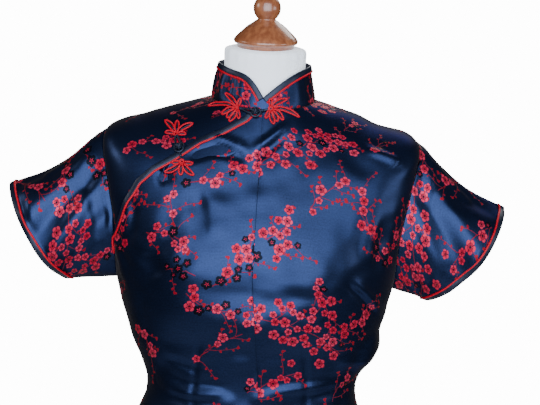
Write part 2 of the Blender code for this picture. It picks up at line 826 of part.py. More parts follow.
def petal_route(petal):
    """One petal's loop from the hub and back, as (x, z) about the hub's middle."""
    direction = math.radians(petal.direction)
    along = np.array((math.cos(direction), math.sin(direction)))
    across = np.array((-along[1], along[0]))
    route = []
    for step in range(PETAL_POINTS):
        turn = math.pi * step / (PETAL_POINTS - 1)
        reach = HUB_RADIUS + (petal.length - HUB_RADIUS) * math.sin(turn) ** 0.75
        share = (reach - HUB_RADIUS) / petal.length
        swell = 0.0007 + petal.half_width * share**0.6
        if step in (0, PETAL_POINTS - 1):
            swell = HUB_SPREAD
        bend = petal.curl * petal.length * share**2
        route.append(along * reach + across * (math.cos(turn) * swell + bend))
    return route


def flower_route(flower):
    """The whole cord of a flower: each petal in turn, clockwise, in one closed line."""
    turn = math.radians(flower.turn)
    route = []
    for petal in flower.petals:
        route += petal_route(petal)
    placed = []
    for x, z in route:
        x = -x if flower.mirrored else x
        turned_x = x * math.cos(turn) - z * math.sin(turn)
        turned_z = x * math.sin(turn) + z * math.cos(turn)
        placed.append((flower.hub_x + turned_x, flower.hub_z + turned_z))
    return placed


def loop_route(away, reach):
    """The loop about the ball, as (x, z) from the ball's middle, open towards its own flower."""
    across = np.array((-away[1], away[0]))
    around = KNOT_RADIUS + FROG_CORD_RADIUS + 0.0008
    route = [away * reach + across * FROG_CORD_RADIUS * 1.65]
    for step in range(11):
        turn = math.radians(35 + 290 * step / 10)
        route.append((away * math.cos(turn) + across * math.sin(turn)) * around)
    route.append(away * reach - across * FROG_CORD_RADIUS * 1.65)
    return route


def knot_cords(knot, front, hubs):
    """Places of the ball, of the cord that carries it and of the loop that passes over that."""
    middle = np.array((knot.x, knot.z))
    to_stem = hubs[knot.stem_flower] - middle
    to_loop = hubs[knot.loop_flower] - middle
    stem_reach, loop_reach = np.linalg.norm(to_stem), np.linalg.norm(to_loop)
    stem_way = to_stem / stem_reach
    stem = [stem_way * (KNOT_RADIUS + 0.0014), stem_way * (stem_reach - 0.0042)]
    loop = loop_route(to_loop / loop_reach, loop_reach - 0.0045)
    rest = front.resting_plane([middle + place for place in (np.zeros(2), *stem, *loop)])

    def placed(place, lift):
        x, z = middle + place
        return Vector((x, rest((x, z)) - lift, z))

    cord_lift = FROG_CORD_RADIUS * 1.3 + FROG_CLEARANCE
    ball = placed(np.zeros(2), KNOT_RADIUS + FROG_CLEARANCE)
    stem = [placed(place, cord_lift) for place in stem]
    raised = []
    for place in loop:
        over_stem = smooth_step((np.dot(place, stem_way) / KNOT_RADIUS - 0.3) / 0.6)
        raised.append(placed(place, cord_lift + over_stem * (2 * FROG_CORD_RADIUS + 0.0009)))

    rooms = [front.room([ball], KNOT_RADIUS), front.room([*stem, *raised], FROG_CORD_RADIUS)]
    for point in (ball, *stem, *raised):
        point.y += min(rooms) - FROG_CLEARANCE
    return ball, stem, raised


def add_ball(name, place, finish, collection):
    mesh = bmesh.new()
    bmesh.ops.create_uvsphere(mesh, u_segments=10, v_segments=7, radius=KNOT_RADIUS)
    bmesh.ops.translate(mesh, verts=mesh.verts, vec=place)
    return object_from(mesh, name, finish, collection)


def add_frogs(front, collection):
    """The ball buttons and their flowers, each flower one cord with its stem or loop."""
    hubs = {flower.name: np.array((flower.hub_x, flower.hub_z)) for flower in FLOWERS}
    leads = {}
    for knot in KNOTS:
        ball, stem, loop = knot_cords(knot, front, hubs)
        add_ball(knot.name, ball, SATIN_BINDING, collection)
        leads[knot.stem_flower] = stem
        leads[knot.loop_flower] = loop
    for flower in FLOWERS:
        petals = front.over(flower_route(flower), FROG_CORD_RADIUS * 1.15 + FROG_CLEARANCE)
        lead = leads[flower.name]
        if (lead[0] - petals[0]).length < (lead[-1] - petals[0]).length:
            lead = lead[::-1]
        tube(flower.name, [*lead, *petals], FROG_CORD_RADIUS, RED_CORD, collection)


# Dress form and stand


FORM_COLUMNS = 36
FORM_EDGE = 0.006  # height of the turned-in edge at the bottom
FORM_HEIGHTS = (0.815, 0.87, 0.925, 0.965, 1.0, 1.035, 1.07, 1.1)
FORM_ROWS = (
    row_at_height(FORM_BOTTOM_Z),
    row_at_height(FORM_BOTTOM_Z + FORM_EDGE),
    *(row_at_height(height) for height in FORM_HEIGHTS),
    *np.arange(UNDERARM_ROW, 8.1, 0.5),
    *np.arange(8.4, NECK_ROW - 0.9, 0.3),
    10.6,
    NECK_ROW,
)

# How far the form lies inside the cloth at each row
Inset = namedtuple("Inset", "row depth")
FORM_INSET = (
    Inset(0.0, 0.0060),
    Inset(5.5, 0.0070),
    Inset(6.2, 0.0085),
    Inset(7.5, 0.0070),
    Inset(9.6, 0.0070),
    Inset(10.4, 0.0046),
    Inset(11.0, 0.0021),
)


def even_ring(section):
    """A whole ring of evenly spaced points."""
    points, distances = ring(section, 0.0, 2 * math.pi)
    return read_along(points, distances, np.linspace(0, distances[-1], FORM_COLUMNS + 1))


def add_torso(finish, collection):
    """The jersey-covered body, which stands clear inside the dress, closed at hip and neck."""
    rows = np.array([even_ring(section_at(row)) for row in FORM_ROWS])
    normals = grid_normals(np.concatenate([rows[:, -2:-1], rows, rows[:, 1:2]], axis=1))[:, 1:-1]
    insets = np.interp(FORM_ROWS, *zip(*FORM_INSET))
    rows = rows - normals * insets[:, None, None]
    rows[0, :, :2] *= 0.975
    rows[0, :, 2] = FORM_BOTTOM_Z
    rows[1, :, 2] = FORM_BOTTOM_Z + FORM_EDGE
    neck = np.array([even_ring(section) for section in NECK_SECTIONS])
    mesh = grid_mesh(np.concatenate([rows, neck]))
    bmesh.ops.remove_doubles(mesh, verts=mesh.verts, dist=1e-5)
    open_edges = [edge for edge in mesh.edges if edge.is_boundary]
    bmesh.ops.holes_fill(mesh, edges=open_edges, sides=0)
    bmesh.ops.recalc_face_normals(mesh, faces=mesh.faces)
    return object_from(mesh, "form_torso", finish, collection)


def turned(name, profile, finish, collection, steps=28):
    """A turned piece: a profile of (radius, height) down its outer side, spun about Z."""
    mesh = bmesh.new()
    line = [mesh.verts.new((radius, 0.0, height)) for radius, height in profile]
    for above, below in zip(line[:-1], line[1:]):
        mesh.edges.new((above, below))
    made = object_from(mesh, name, finish, collection)
    screw = made.modifiers.new("turned", "SCREW")
    screw.axis = "Z"
    screw.steps = steps
    screw.render_steps = steps
    screw.use_merge_vertices = True
    screw.merge_threshold = 0.0001
    return made


def ball_profile(centre, radius, tallness, first, last, count):
    """(radius, height) points down a ball's side, between two angles from its top."""
    angles = np.radians(np.linspace(first, last, count))
    return [(radius * math.sin(angle), centre + radius * tallness * math.cos(angle)) for angle in angles]


def add_cap(finish, collection):
    """The turned wooden cap: a ball on a waisted cone with a rounded rim."""
    ball = ball_profile(0.0492, 0.0172, 1.0, 0, 138, 9)
    cone = [(0.0130, 0.0335), (0.0205, 0.0290), (0.0290, 0.0217), (0.0362, 0.0150), (0.0396, 0.0108)]
    rim = [(0.0402, 0.0088), (0.0390, 0.0060), (0.0360, 0.0045), (0.0355, 0.0), (0.0, 0.0)]
    cap = turned("form_cap", [*ball, *cone, *rim], finish, collection)
    cap.location = (0.0, NECK_SECTIONS[-1].mid, NECK_SECTIONS[-1].side_z + CAP_GAP)
    cap.rotation_euler = (math.atan2(0.010, 0.096), 0.0, 0.0)
    return cap


def add_stand(finish, collection):
    pole = [
        (0.0, FORM_BOTTOM_Z - SEAM_GAP),
        (0.024, FORM_BOTTOM_Z - SEAM_GAP),
        (0.024, FORM_BOTTOM_Z - 0.012),
        (POLE_RADIUS, FORM_BOTTOM_Z - 0.020),
        (POLE_RADIUS, FOOT_HEIGHT + 0.034),
        (0.021, FOOT_HEIGHT + 0.026),
        (0.026, FOOT_HEIGHT + 0.012),
        (0.026, FOOT_HEIGHT + SEAM_GAP),
        (0.0, FOOT_HEIGHT + SEAM_GAP),
    ]
    turned("stand_pole", pole, finish, collection, 24)
    foot = [
        (0.0, FOOT_HEIGHT),
        (0.040, FOOT_HEIGHT),
        (FOOT_RADIUS - 0.012, FOOT_HEIGHT - 0.006),
        (FOOT_RADIUS - 0.003, FOOT_HEIGHT - 0.009),
        (FOOT_RADIUS, FOOT_HEIGHT - 0.014),
        (FOOT_RADIUS, 0.004),
        (FOOT_RADIUS - 0.004, 0.0),
        (0.0, 0.0),
    ]
    turned("stand_foot", foot, finish, collection, 48)


def main():
    clear_scene()
    parts = new_collection("cheongsam_on_form")
    left, right, under, back = front_left_grid(), front_right_grid(), under_front_grid(), back_grid()
    collar = collar_grid()
    sleeve_left = sleeve_grid(LEFT_CUFF, LEFT_FOLDS, 1)
    sleeve_right = sleeve_grid(RIGHT_CUFF, RIGHT_FOLDS, -1)
    for name, grid in (
        ("front_left", left),
        ("front_right", right),
        ("under_front", under),
        ("back", back),
        ("collar", collar),
        ("sleeve_left", sleeve_left),
        ("sleeve_right", sleeve_right),
    ):
        panel(name, grid, SATIN_BROCADE, parts)

    add_trim("sleeve_left", sleeve_left, row_path(sleeve_left), parts)
    add_trim("sleeve_right", sleeve_right, row_path(sleeve_right), parts)
    add_trim("hem_back", back, hem_path(back), parts)
    fronts = joined_fronts(left, right)
    add_trim("hem_front", fronts, hem_path(fronts), parts)
    collar_band = add_trim("collar", collar, row_path(collar), parts)
    front_band = add_trim("front", right, row_path(right), parts, drawn_back=0.0025)
    add_frogs(Front([left, right, under, collar, collar_band, front_band]), parts)

    add_torso(JERSEY, parts)
    add_cap(TURNED_WOOD, parts)
    add_stand(TURNED_WOOD, parts)


main()
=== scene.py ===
"""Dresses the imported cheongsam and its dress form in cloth, cord and wood, and lights them.

Every length is in metres, +Z is up and the front faces -Y. Left and right are the wearer's.
"""

from __future__ import annotations

import logging
import math
import random
import sys
from collections.abc import Callable, Sequence
from dataclasses import astuple, dataclass, field
from enum import Enum

import bmesh
import bpy
import numpy as np
from mathutils import Matrix, Vector
from mathutils.bvhtree import BVHTree

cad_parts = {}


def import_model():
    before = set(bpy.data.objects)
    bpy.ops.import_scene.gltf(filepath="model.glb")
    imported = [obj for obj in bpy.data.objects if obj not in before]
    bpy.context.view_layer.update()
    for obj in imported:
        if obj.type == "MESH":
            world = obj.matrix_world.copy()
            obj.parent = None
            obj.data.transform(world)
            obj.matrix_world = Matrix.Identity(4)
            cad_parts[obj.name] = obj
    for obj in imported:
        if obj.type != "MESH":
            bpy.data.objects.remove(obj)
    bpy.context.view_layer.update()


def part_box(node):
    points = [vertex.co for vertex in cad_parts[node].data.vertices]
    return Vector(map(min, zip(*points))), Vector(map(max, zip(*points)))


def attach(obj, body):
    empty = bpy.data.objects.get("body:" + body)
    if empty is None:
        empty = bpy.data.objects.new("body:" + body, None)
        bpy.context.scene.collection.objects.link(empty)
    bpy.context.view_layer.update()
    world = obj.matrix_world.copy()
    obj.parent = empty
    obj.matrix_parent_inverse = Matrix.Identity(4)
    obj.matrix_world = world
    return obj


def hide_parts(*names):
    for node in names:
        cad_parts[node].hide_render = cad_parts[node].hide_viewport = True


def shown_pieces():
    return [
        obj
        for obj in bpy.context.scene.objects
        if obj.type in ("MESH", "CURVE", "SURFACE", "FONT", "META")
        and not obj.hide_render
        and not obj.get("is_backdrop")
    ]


log = logging.getLogger("cheongsam")

Array = np.ndarray
Rows = list[tuple[float, ...]]
Colour = Place = tuple[float, float, float]
Pair = tuple[float, float]
BODY = "root"
WALL = 0.0012
SEAM_GAP = -0.0002
BINDING_WIDTH = 0.0065


def smooth_step(share: Array) -> Array:
    """Eases from 0 to 1.

    Args:
        share: Values, of which those under 0 or over 1 are cut off.
    Returns:
        The eased values.
    """
    share = np.clip(share, 0.0, 1.0)
    return share * share * (3 - 2 * share)


def soft_bump(distance: Array, width: float) -> Array:
    """A rounded hump that ends at a distance of one width.

    Args:
        distance: Distances from the middle of the hump.
        width: Where the hump has come down to nothing.
    Returns:
        Heights from 0 to 1.
    """
    return (1 - np.minimum(distance / width, 1.0) ** 2) ** 2


def line_distance(points: Array, start: Sequence[float], end: Sequence[float]) -> Array:
    """Distances from points to a straight line between two places.

    Args:
        points: Points in the last axis, in two or three dimensions.
        start: The line's first end.
        end: The line's other end.
    Returns:
        One distance for each point.
    """
    first = np.array(start)
    along = np.array(end) - first
    share = np.clip((points - first) @ along / (along @ along), 0.0, 1.0)
    return np.linalg.norm(points - first - share[..., None] * along, axis=-1)


def between(points: Sequence[Array], share: Array) -> Array:
    """Reads a smooth curve between the middle two of four points.

    Args:
        points: The four points.
        share: Shares of the way between the middle two.
    Returns:
        The curve's points.
    """
    before, start, end, after = points
    return (
        2 * start
        + (end - before) * share
        + (2 * before - 5 * start + 4 * end - after) * share**2
        + (3 * start - before - 3 * end + after) * share**3
    ) / 2


def path_lengths(route: Array) -> Array:
    """Lengths from a route's start to each of its points.

    Args:
        route: The route's points.
    Returns:
        The lengths.
    """
    return np.concatenate([[0.0], np.cumsum(np.linalg.norm(np.diff(route, axis=0), axis=1))])


def circle(count: int) -> Array:
    """Even places round a circle of radius 1.

    Args:
        count: How many places.
    Returns:
        The places.
    """
    turns = np.linspace(0, 2 * math.pi, count + 1)[:-1]
    return np.stack([np.cos(turns), np.sin(turns)], axis=1)


def unit(vectors: Array) -> Array:
    """Scales vectors to a length of one.

    Args:
        vectors: Vectors in the last axis.
    Returns:
        The vectors at unit length.
    """
    return vectors / np.maximum(np.linalg.norm(vectors, axis=-1, keepdims=True), 1e-12)


class Face(Enum):
    """The two halves of the dress's body."""

    FRONT = 1.0
    BACK = -1.0


class Side(Enum):
    """The wearer's sides, as the sign of X."""

    LEFT = 1
    RIGHT = -1


@dataclass(frozen=True)
class Section:
    """One ring round the body: its heights at side, front and back, and its sizes."""

    side_z: float
    front_z: float
    back_z: float
    half_width: float
    front: float
    back: float
    mid: float
    square: float


SECTIONS = (
    Section(0.430, 0.430, 0.430, 0.181, 0.112, 0.124, 0.000, 2.30),
    Section(0.640, 0.640, 0.640, 0.184, 0.113, 0.127, 0.000, 2.30),
    Section(0.815, 0.815, 0.815, 0.178, 0.112, 0.128, 0.000, 2.25),
    Section(0.920, 0.920, 0.920, 0.158, 0.104, 0.114, 0.002, 2.20),
    Section(0.992, 0.992, 0.992, 0.134, 0.096, 0.095, 0.004, 2.15),
    Section(1.060, 1.060, 1.060, 0.158, 0.109, 0.099, 0.006, 2.20),
    Section(1.124, 1.142, 1.136, 0.174, 0.121, 0.105, 0.008, 2.35),
    Section(1.188, 1.192, 1.195, 0.186, 0.120, 0.109, 0.009, 2.50),
    Section(1.262, 1.232, 1.243, 0.198, 0.109, 0.108, 0.010, 2.60),
    Section(1.314, 1.262, 1.284, 0.196, 0.097, 0.100, 0.010, 2.50),
    Section(1.338, 1.300, 1.322, 0.140, 0.081, 0.087, 0.010, 2.25),
    Section(1.360, 1.347, 1.366, 0.066, 0.060, 0.062, 0.010, 2.00),
)
NECK_SECTIONS = (
    Section(1.374, 1.363, 1.380, 0.0530, 0.0500, 0.0520, 0.010, 2.0),
    Section(1.395, 1.388, 1.401, 0.0510, 0.0475, 0.0500, 0.008, 2.0),
    Section(1.418, 1.412, 1.424, 0.0510, 0.0485, 0.0500, 0.004, 2.0),
    Section(1.423, 1.418, 1.428, 0.0480, 0.0460, 0.0470, 0.004, 2.0),
)
UNDERARM_ROW, TIP_ROW, NECK_ROW = 6, 9, 11


@dataclass(frozen=True)
class Ridge:
    """A large fold: a ridge, or with a negative height a trough, along a line in space."""

    start: Place
    end: Place
    width: float
    height: float


BODY_RIDGES = (
    Ridge((0.026, -0.080, 1.325), (-0.010, -0.100, 1.300), 0.013, 0.0040),
    Ridge((-0.010, -0.100, 1.300), (-0.050, -0.095, 1.312), 0.012, 0.0035),
    Ridge((-0.125, -0.085, 1.285), (-0.070, -0.095, 1.297), 0.014, 0.0025),
    Ridge((0.120, -0.080, 1.010), (0.010, -0.100, 0.998), 0.016, 0.0040),
    Ridge((-0.120, -0.060, 1.004), (-0.030, -0.095, 0.992), 0.016, 0.0035),
    Ridge((0.150, -0.030, 1.043), (0.150, 0.050, 1.040), 0.036, 0.0085),
    Ridge((-0.140, 0.070, 1.050), (-0.050, 0.110, 1.040), 0.022, 0.0040),
    Ridge((0.120, 0.080, 1.035), (0.030, 0.115, 1.046), 0.022, 0.0040),
    Ridge((-0.170, -0.045, 1.180), (-0.164, -0.066, 1.115), 0.016, 0.0030),
    Ridge((0.148, -0.030, 1.330), (0.148, 0.050, 1.332), 0.035, -0.0040),
    Ridge((0.160, -0.060, 0.850), (0.060, -0.112, 0.870), 0.030, 0.0030),
    Ridge((-0.160, -0.060, 0.860), (-0.050, -0.112, 0.875), 0.030, 0.0030),
)


@dataclass(frozen=True)
class Crease:
    """A small fold seen from the front or back, bowed sideways by bend."""

    x: float
    z: float
    end_x: float
    end_z: float
    bend: float
    width: float
    height: float


CREASES = {
    Face.FRONT: (
        Crease(-0.175, 1.104, 0.175, 1.092, -0.004, 0.0420, 0.0060),
        Crease(0.036, 1.338, -0.013, 1.299, 0.002, 0.0070, 0.0044),
        Crease(-0.009, 1.298, -0.068, 1.316, -0.002, 0.0070, 0.0040),
        Crease(0.032, 1.324, -0.010, 1.289, 0.002, 0.0080, -0.0034),
        Crease(-0.010, 1.287, -0.064, 1.300, -0.002, 0.0090, -0.0036),
        Crease(-0.096, 1.284, -0.030, 1.305, 0.003, 0.0110, -0.0030),
        Crease(-0.126, 1.260, -0.100, 1.270, 0.002, 0.0120, -0.0032),
        Crease(-0.082, 1.262, -0.070, 1.180, 0.006, 0.0150, -0.0022),
        Crease(-0.060, 1.262, -0.046, 1.190, 0.004, 0.0160, 0.0014),
        Crease(-0.138, 1.176, -0.118, 1.140, 0.004, 0.0190, -0.0036),
        Crease(-0.160, 1.250, -0.168, 1.180, 0.004, 0.0100, 0.0024),
        Crease(-0.150, 1.238, -0.157, 1.176, 0.004, 0.0090, -0.0020),
        Crease(-0.148, 1.130, -0.140, 1.060, -0.004, 0.0140, 0.0018),
        Crease(0.122, 1.308, 0.180, 1.288, 0.002, 0.0075, 0.0036),
        Crease(0.122, 1.316, 0.170, 1.302, 0.002, 0.0080, -0.0018),
        Crease(0.090, 1.318, 0.150, 1.275, -0.006, 0.0160, -0.0018),
        Crease(0.106, 1.152, 0.158, 1.090, 0.003, 0.0060, -0.0040),
        Crease(0.112, 1.158, 0.162, 1.098, 0.003, 0.0080, 0.0030),
        Crease(0.148, 1.240, 0.134, 1.160, -0.006, 0.0140, 0.0018),
        Crease(0.160, 1.236, 0.150, 1.150, -0.004, 0.0110, -0.0020),
        Crease(0.030, 1.250, 0.020, 1.130, 0.004, 0.0260, -0.0014),
        Crease(0.060, 1.090, 0.070, 0.960, 0.003, 0.0060, -0.0012),
        Crease(-0.062, 1.090, -0.070, 0.960, -0.003, 0.0060, -0.0012),
        Crease(0.010, 1.006, 0.128, 1.013, 0.004, 0.0080, 0.0018),
        Crease(0.016, 0.996, 0.112, 0.999, 0.004, 0.0080, -0.0014),
        Crease(-0.112, 1.000, -0.018, 1.008, -0.004, 0.0090, 0.0016),
        Crease(-0.105, 0.990, -0.024, 0.997, -0.004, 0.0090, -0.0013),
        Crease(-0.110, 0.974, -0.010, 0.970, 0.006, 0.0110, 0.0022),
        Crease(0.030, 0.962, 0.120, 0.966, -0.005, 0.0120, 0.0020),
        Crease(-0.112, 1.040, -0.058, 1.024, 0.004, 0.0090, -0.0018),
        Crease(0.100, 1.046, 0.150, 1.030, 0.003, 0.0100, 0.0022),
        Crease(0.005, 1.052, -0.004, 1.004, 0.002, 0.0080, -0.0012),
        Crease(-0.080, 0.900, -0.110, 0.760, 0.008, 0.0240, 0.0016),
        Crease(0.070, 0.905, 0.120, 0.740, -0.008, 0.0260, 0.0018),
        Crease(0.040, 0.720, 0.055, 0.480, 0.010, 0.0340, 0.0020),
        Crease(-0.060, 0.700, -0.045, 0.470, -0.010, 0.0320, -0.0018),
    ),
    Face.BACK: (
        Crease(-0.150, 1.245, -0.120, 1.160, 0.006, 0.014, 0.0018),
        Crease(0.150, 1.240, 0.118, 1.150, -0.006, 0.014, 0.0016),
        Crease(-0.062, 1.080, -0.070, 0.900, -0.003, 0.006, -0.0012),
        Crease(0.062, 1.080, 0.070, 0.900, 0.003, 0.006, -0.0012),
        Crease(-0.110, 1.000, -0.020, 1.012, 0.006, 0.013, 0.0024),
        Crease(0.020, 0.995, 0.110, 0.984, -0.005, 0.012, 0.0022),
        Crease(-0.090, 0.975, 0.050, 0.968, 0.004, 0.014, -0.0018),
        Crease(-0.040, 1.330, 0.045, 1.326, -0.006, 0.014, 0.0014),
        Crease(0.050, 0.700, 0.060, 0.470, 0.012, 0.034, 0.0020),
        Crease(-0.070, 0.760, -0.090, 0.480, -0.012, 0.036, -0.0018),
    ),
}

# The overlap's outer edge, as (distance out from the centre to the wearer's right, height)
SHOULDER_Z = 1.360
OVERLAP_DROPS = (
    (0.000, 0.002),
    (0.012, 0.011),
    (0.022, 0.0215),
    (0.050, 0.038),
    (0.076, 0.050),
    (0.106, 0.070),
    (0.130, 0.084),
    (0.148, 0.101),
    (0.160, 0.124),
    (0.169, 0.150),
    (0.178, 0.180),
    (0.190, 0.230),
)
OVERLAP_EDGE = np.array([(x, SHOULDER_Z - drop) for x, drop in OVERLAP_DROPS])
CENTRE_SEAM = np.array(
    [(0.43, 0.0), (0.90, 0.006), (1.00, 0.010), (1.08, 0.003), (1.15, -0.003), (1.30, 0.0), (1.36, 0.0)]
)


BODY_MIDDLE = np.array((0.0, 0.008, 0.0))
BODY_SPREAD = np.array((0.17, 0.11, 1.0))
SHOULDER_START = 1.200
SHOULDER_SPREAD = 0.20


@dataclass(frozen=True)
class Body:
    """The dress's body as one curved surface, read from its sections."""

    sections: tuple[Section, ...] = SECTIONS
    round_power: float = 1.6
    bust: tuple[float, float, float, float, float] = (0.082, 1.150, 0.056, 0.050, 0.011)
    armhole_front: float = math.radians(22)
    armhole_back: float = math.radians(20)
    slit_top: float = 0.640
    slit_opening: float = 0.010
    overlap_lift: float = 0.0019
    lift_reach: float = 0.034
    lift_fade: float = 0.030
    crease_fade: float = 0.35
    fine: int = 120
    wave_height: float = 0.00022
    waves: tuple[tuple[float, float, float, float], ...] = (
        (150.0, 20.0, 95.0, 0.3),
        (-80.0, 60.0, 190.0, 1.9),
        (210.0, 40.0, -60.0, 4.1),
        (55.0, -130.0, 240.0, 2.6),
        (105.0, 110.0, -160.0, 5.2),
    )

    def sections_at(self, rows: Array) -> Array:
        """Reads the section table between its rows as a smooth curve.

        Args:
            rows: Rows of the table, whole or not.
        Returns:
            Eight sizes for each row, in the last axis.
        """
        table = np.array([astuple(section) for section in self.sections])
        last = len(table) - 1
        rows = np.clip(rows, 0, last)
        low = np.minimum(rows.astype(int), last - 1)
        share = (rows - low)[..., None]
        return between([table[np.clip(low + step, 0, last)] for step in (-1, 0, 1, 2)], share)

    def ring_points(self, rows: Array, angles: Array, face: Face) -> Array:
        """Points of rings, at angles from the middle of the front or back.

        Args:
            rows: Rows of the section table.
            angles: Angles, positive towards the wearer's left, one for each row.
            face: Which half of the body they are on.
        Returns:
            The points, in the last axis.
        """
        values = np.moveaxis(self.sections_at(rows), -1, 0)
        side_z, front_z, back_z, half_width, front, back, mid, square = values
        ahead, across = np.abs(np.cos(angles)), np.sin(angles)
        power = 2 / square
        x = half_width * np.sign(across) * np.abs(across) ** power
        is_front = face is Face.FRONT
        y = mid + (-front if is_front else back) * ahead**power
        z = side_z + ((front_z if is_front else back_z) - side_z) * ahead**self.round_power
        if is_front:
            bust_x, bust_z, spread_x, spread_z, height = self.bust
            across_bust, up_bust = (np.abs(x) - bust_x) / spread_x, (z - bust_z) / spread_z
            y = y - height * np.exp(-(across_bust**2) - up_bust**2)
        return np.stack([x, y, z], axis=-1)

    def edge_angle(self, rows: Array, face: Face) -> Array:
        """The angle of the side seam or armhole from the middle of the front or back.

        Args:
            rows: Rows of the section table.
            face: The half of the body.
        Returns:
            Angles in radians.
        """
        widest = self.armhole_front if face is Face.FRONT else self.armhole_back
        share = np.clip((rows - UNDERARM_ROW) / (TIP_ROW - UNDERARM_ROW), 0.0, 1.0)
        return math.pi / 2 - widest * np.maximum(np.sin(math.pi * share), 0.0) ** 0.6

    def half_rings(self, rows: Array, face: Face) -> tuple[Array, Array]:
        """Fine angles from the middle to the side, and the distance to each along the cloth.

        Args:
            rows: Rows of the section table, in one axis.
            face: The half of the body.
        Returns:
            The angles and the distances, a line for each row.
        """
        angles = self.edge_angle(rows, face)[:, None] * np.linspace(0, 1, self.fine + 1)
        points = self.ring_points(np.broadcast_to(rows[:, None], angles.shape), angles, face)
        steps = np.linalg.norm(np.diff(points, axis=1), axis=2)
        return angles, np.concatenate([np.zeros((len(rows), 1)), np.cumsum(steps, axis=1)], axis=1)

    def reach(self, rows: Array, face: Face) -> Array:
        """Half the cloth's width at each row, up to the gap of the side seam or slit.

        Args:
            rows: Rows of the section table, in any shape.
            face: The half of the body.
        Returns:
            Distances along the cloth.
        """
        flat = rows.ravel()
        widths = self.half_rings(flat, face)[1][:, -1]
        heights = self.sections_at(flat)[:, 0]
        hem = self.sections[0].side_z
        opening = self.slit_opening * smooth_step((self.slit_top - heights) / (self.slit_top - hem))
        return (widths - SEAM_GAP / 2 - opening).reshape(rows.shape)

    def points(self, rows: Array, distances: Array, face: Face) -> Array:
        """Points at distances along the cloth from the middle of the front or back.

        Args:
            rows: Rows of the section table, in any shape.
            distances: Distances in the same shape, positive to the wearer's left.
            face: The half of the body.
        Returns:
            The points, in the last axis.
        """
        flat_rows, places = rows.ravel(), distances.ravel()
        unique, which = np.unique(flat_rows, return_inverse=True)
        angles, lengths = self.half_rings(unique, face)
        found = np.empty(len(places))
        for first in range(0, len(places), 20000):
            part = slice(first, first + 20000)
            line = lengths[which[part]]
            wanted = np.abs(places[part])[:, None]
            low = np.clip((line <= wanted).sum(axis=1) - 1, 0, self.fine - 1)
            index = np.arange(len(low))
            start, end = line[index, low], line[index, low + 1]
            share = (wanted[:, 0] - start) / (end - start)
            turn = angles[which[part]]
            found[part] = turn[index, low] + (turn[index, low + 1] - turn[index, low]) * share
        made = self.ring_points(flat_rows, found * np.sign(places), face)
        return made.reshape(*rows.shape, 3)

    def rows_at(self, heights: Sequence[float]) -> Array:
        """The rows whose rings have given heights at the side.

        Args:
            heights: Heights from the hem to the neck.
        Returns:
            Rows of the section table.
        """
        rows = np.linspace(0, NECK_ROW, 2201)
        return np.interp(heights, self.sections_at(rows)[:, 0], rows)

    def outward(self, points: Array) -> Array:
        """The way out of the body, the same on both sides of every seam.

        Args:
            points: Points in the last axis.
        Returns:
            Unit vectors.
        """
        way = (points - BODY_MIDDLE) / BODY_SPREAD**2
        way[..., 2] = np.maximum(0.0, points[..., 2] - SHOULDER_START) / SHOULDER_SPREAD**2
        return unit(way)

    def folds(self, points: Array) -> Array:
        """How far the large folds move the cloth out.

        Args:
            points: Points in the last axis.
        Returns:
            Distances outwards.
        """
        moved = np.zeros(points.shape[:-1])
        for ridge in BODY_RIDGES:
            moved += ridge.height * soft_bump(line_distance(points, ridge.start, ridge.end), ridge.width)
        return moved

    def creases(self, points: Array, face: Face) -> Array:
        """How far the small folds move the cloth out.

        Args:
            points: Points in the last axis.
            face: The half of the body that the points are on.
        Returns:
            Distances outwards.
        """
        seen = points[..., [0, 2]]
        moved = np.zeros(points.shape[:-1])
        for crease in CREASES[face]:
            start = np.array((crease.x, crease.z))
            along = np.array((crease.end_x, crease.end_z)) - start
            length = np.linalg.norm(along)
            along = along / length
            across = np.array((-along[1], along[0]))
            share = (seen - start) @ along / length
            bow = crease.bend * np.sin(math.pi * np.clip(share, 0, 1))
            away = np.abs((seen - start) @ across - bow)
            fade = smooth_step(share / self.crease_fade) * smooth_step((1 - share) / self.crease_fade)
            moved += crease.height * soft_bump(away, crease.width) * fade
        return moved

    def crumple(self, points: Array) -> Array:
        """Fine unevenness of handled satin.

        Args:
            points: Points in the last axis.
        Returns:
            Distances outwards.
        """
        moved = np.zeros(points.shape[:-1])
        for across, deep, up, phase in self.waves:
            way = np.array((across, deep, up))
            bend = 1.4 * np.sin(points @ np.array((31.0, -17.0, 23.0)) + phase)
            moved += np.sin(points @ way + phase + bend)
        patches = 0.55 + 0.45 * np.sin(points @ np.array((27.0, 14.0, -33.0)) + 0.8)
        return self.wave_height * moved * patches

    def overlap_distance(self, points: Array) -> Array:
        """Distances from the overlap's edge, seen from the front.

        Args:
            points: Points in the last axis.
        Returns:
            One distance for each point.
        """
        seen = points[..., [0, 2]] * np.array((-1.0, 1.0))
        lines = zip(OVERLAP_EDGE[:-1], OVERLAP_EDGE[1:])
        return np.min([line_distance(seen, start, end) for start, end in lines], axis=0)

    def lift(self, points: Array) -> Array:
        """How far the main front rides over the piece beneath its overlap.

        Args:
            points: Points in the last axis.
        Returns:
            Distances outwards.
        """
        fade = smooth_step((self.overlap_distance(points) - self.lift_reach) / self.lift_fade)
        return self.overlap_lift * (1 - fade)

    def raised(self, points: Array, relief: Array) -> Array:
        """Moves points out of the body.

        Args:
            points: Points in the last axis.
            relief: How far each one moves.
        Returns:
            The moved points.
        """
        return points + self.outward(points) * relief[..., None]


@dataclass
class Sheet:
    """A grid of points with each one's place on the flat cloth."""

    points: Array
    flat: Array

    def normals(self) -> Array:
        """Outward directions at the grid's points.

        Returns:
            Unit vectors in the grid's shape.
        """
        across, up = np.gradient(self.points, axis=1), np.gradient(self.points, axis=0)
        return unit(np.cross(across, up))

    def area(self) -> float:
        """The cloth's area, one layer.

        Returns:
            Square metres.
        """
        across, up = np.diff(self.points, axis=1)[:-1], np.diff(self.points, axis=0)[:, :-1]
        return float(np.linalg.norm(np.cross(across, up), axis=2).sum())


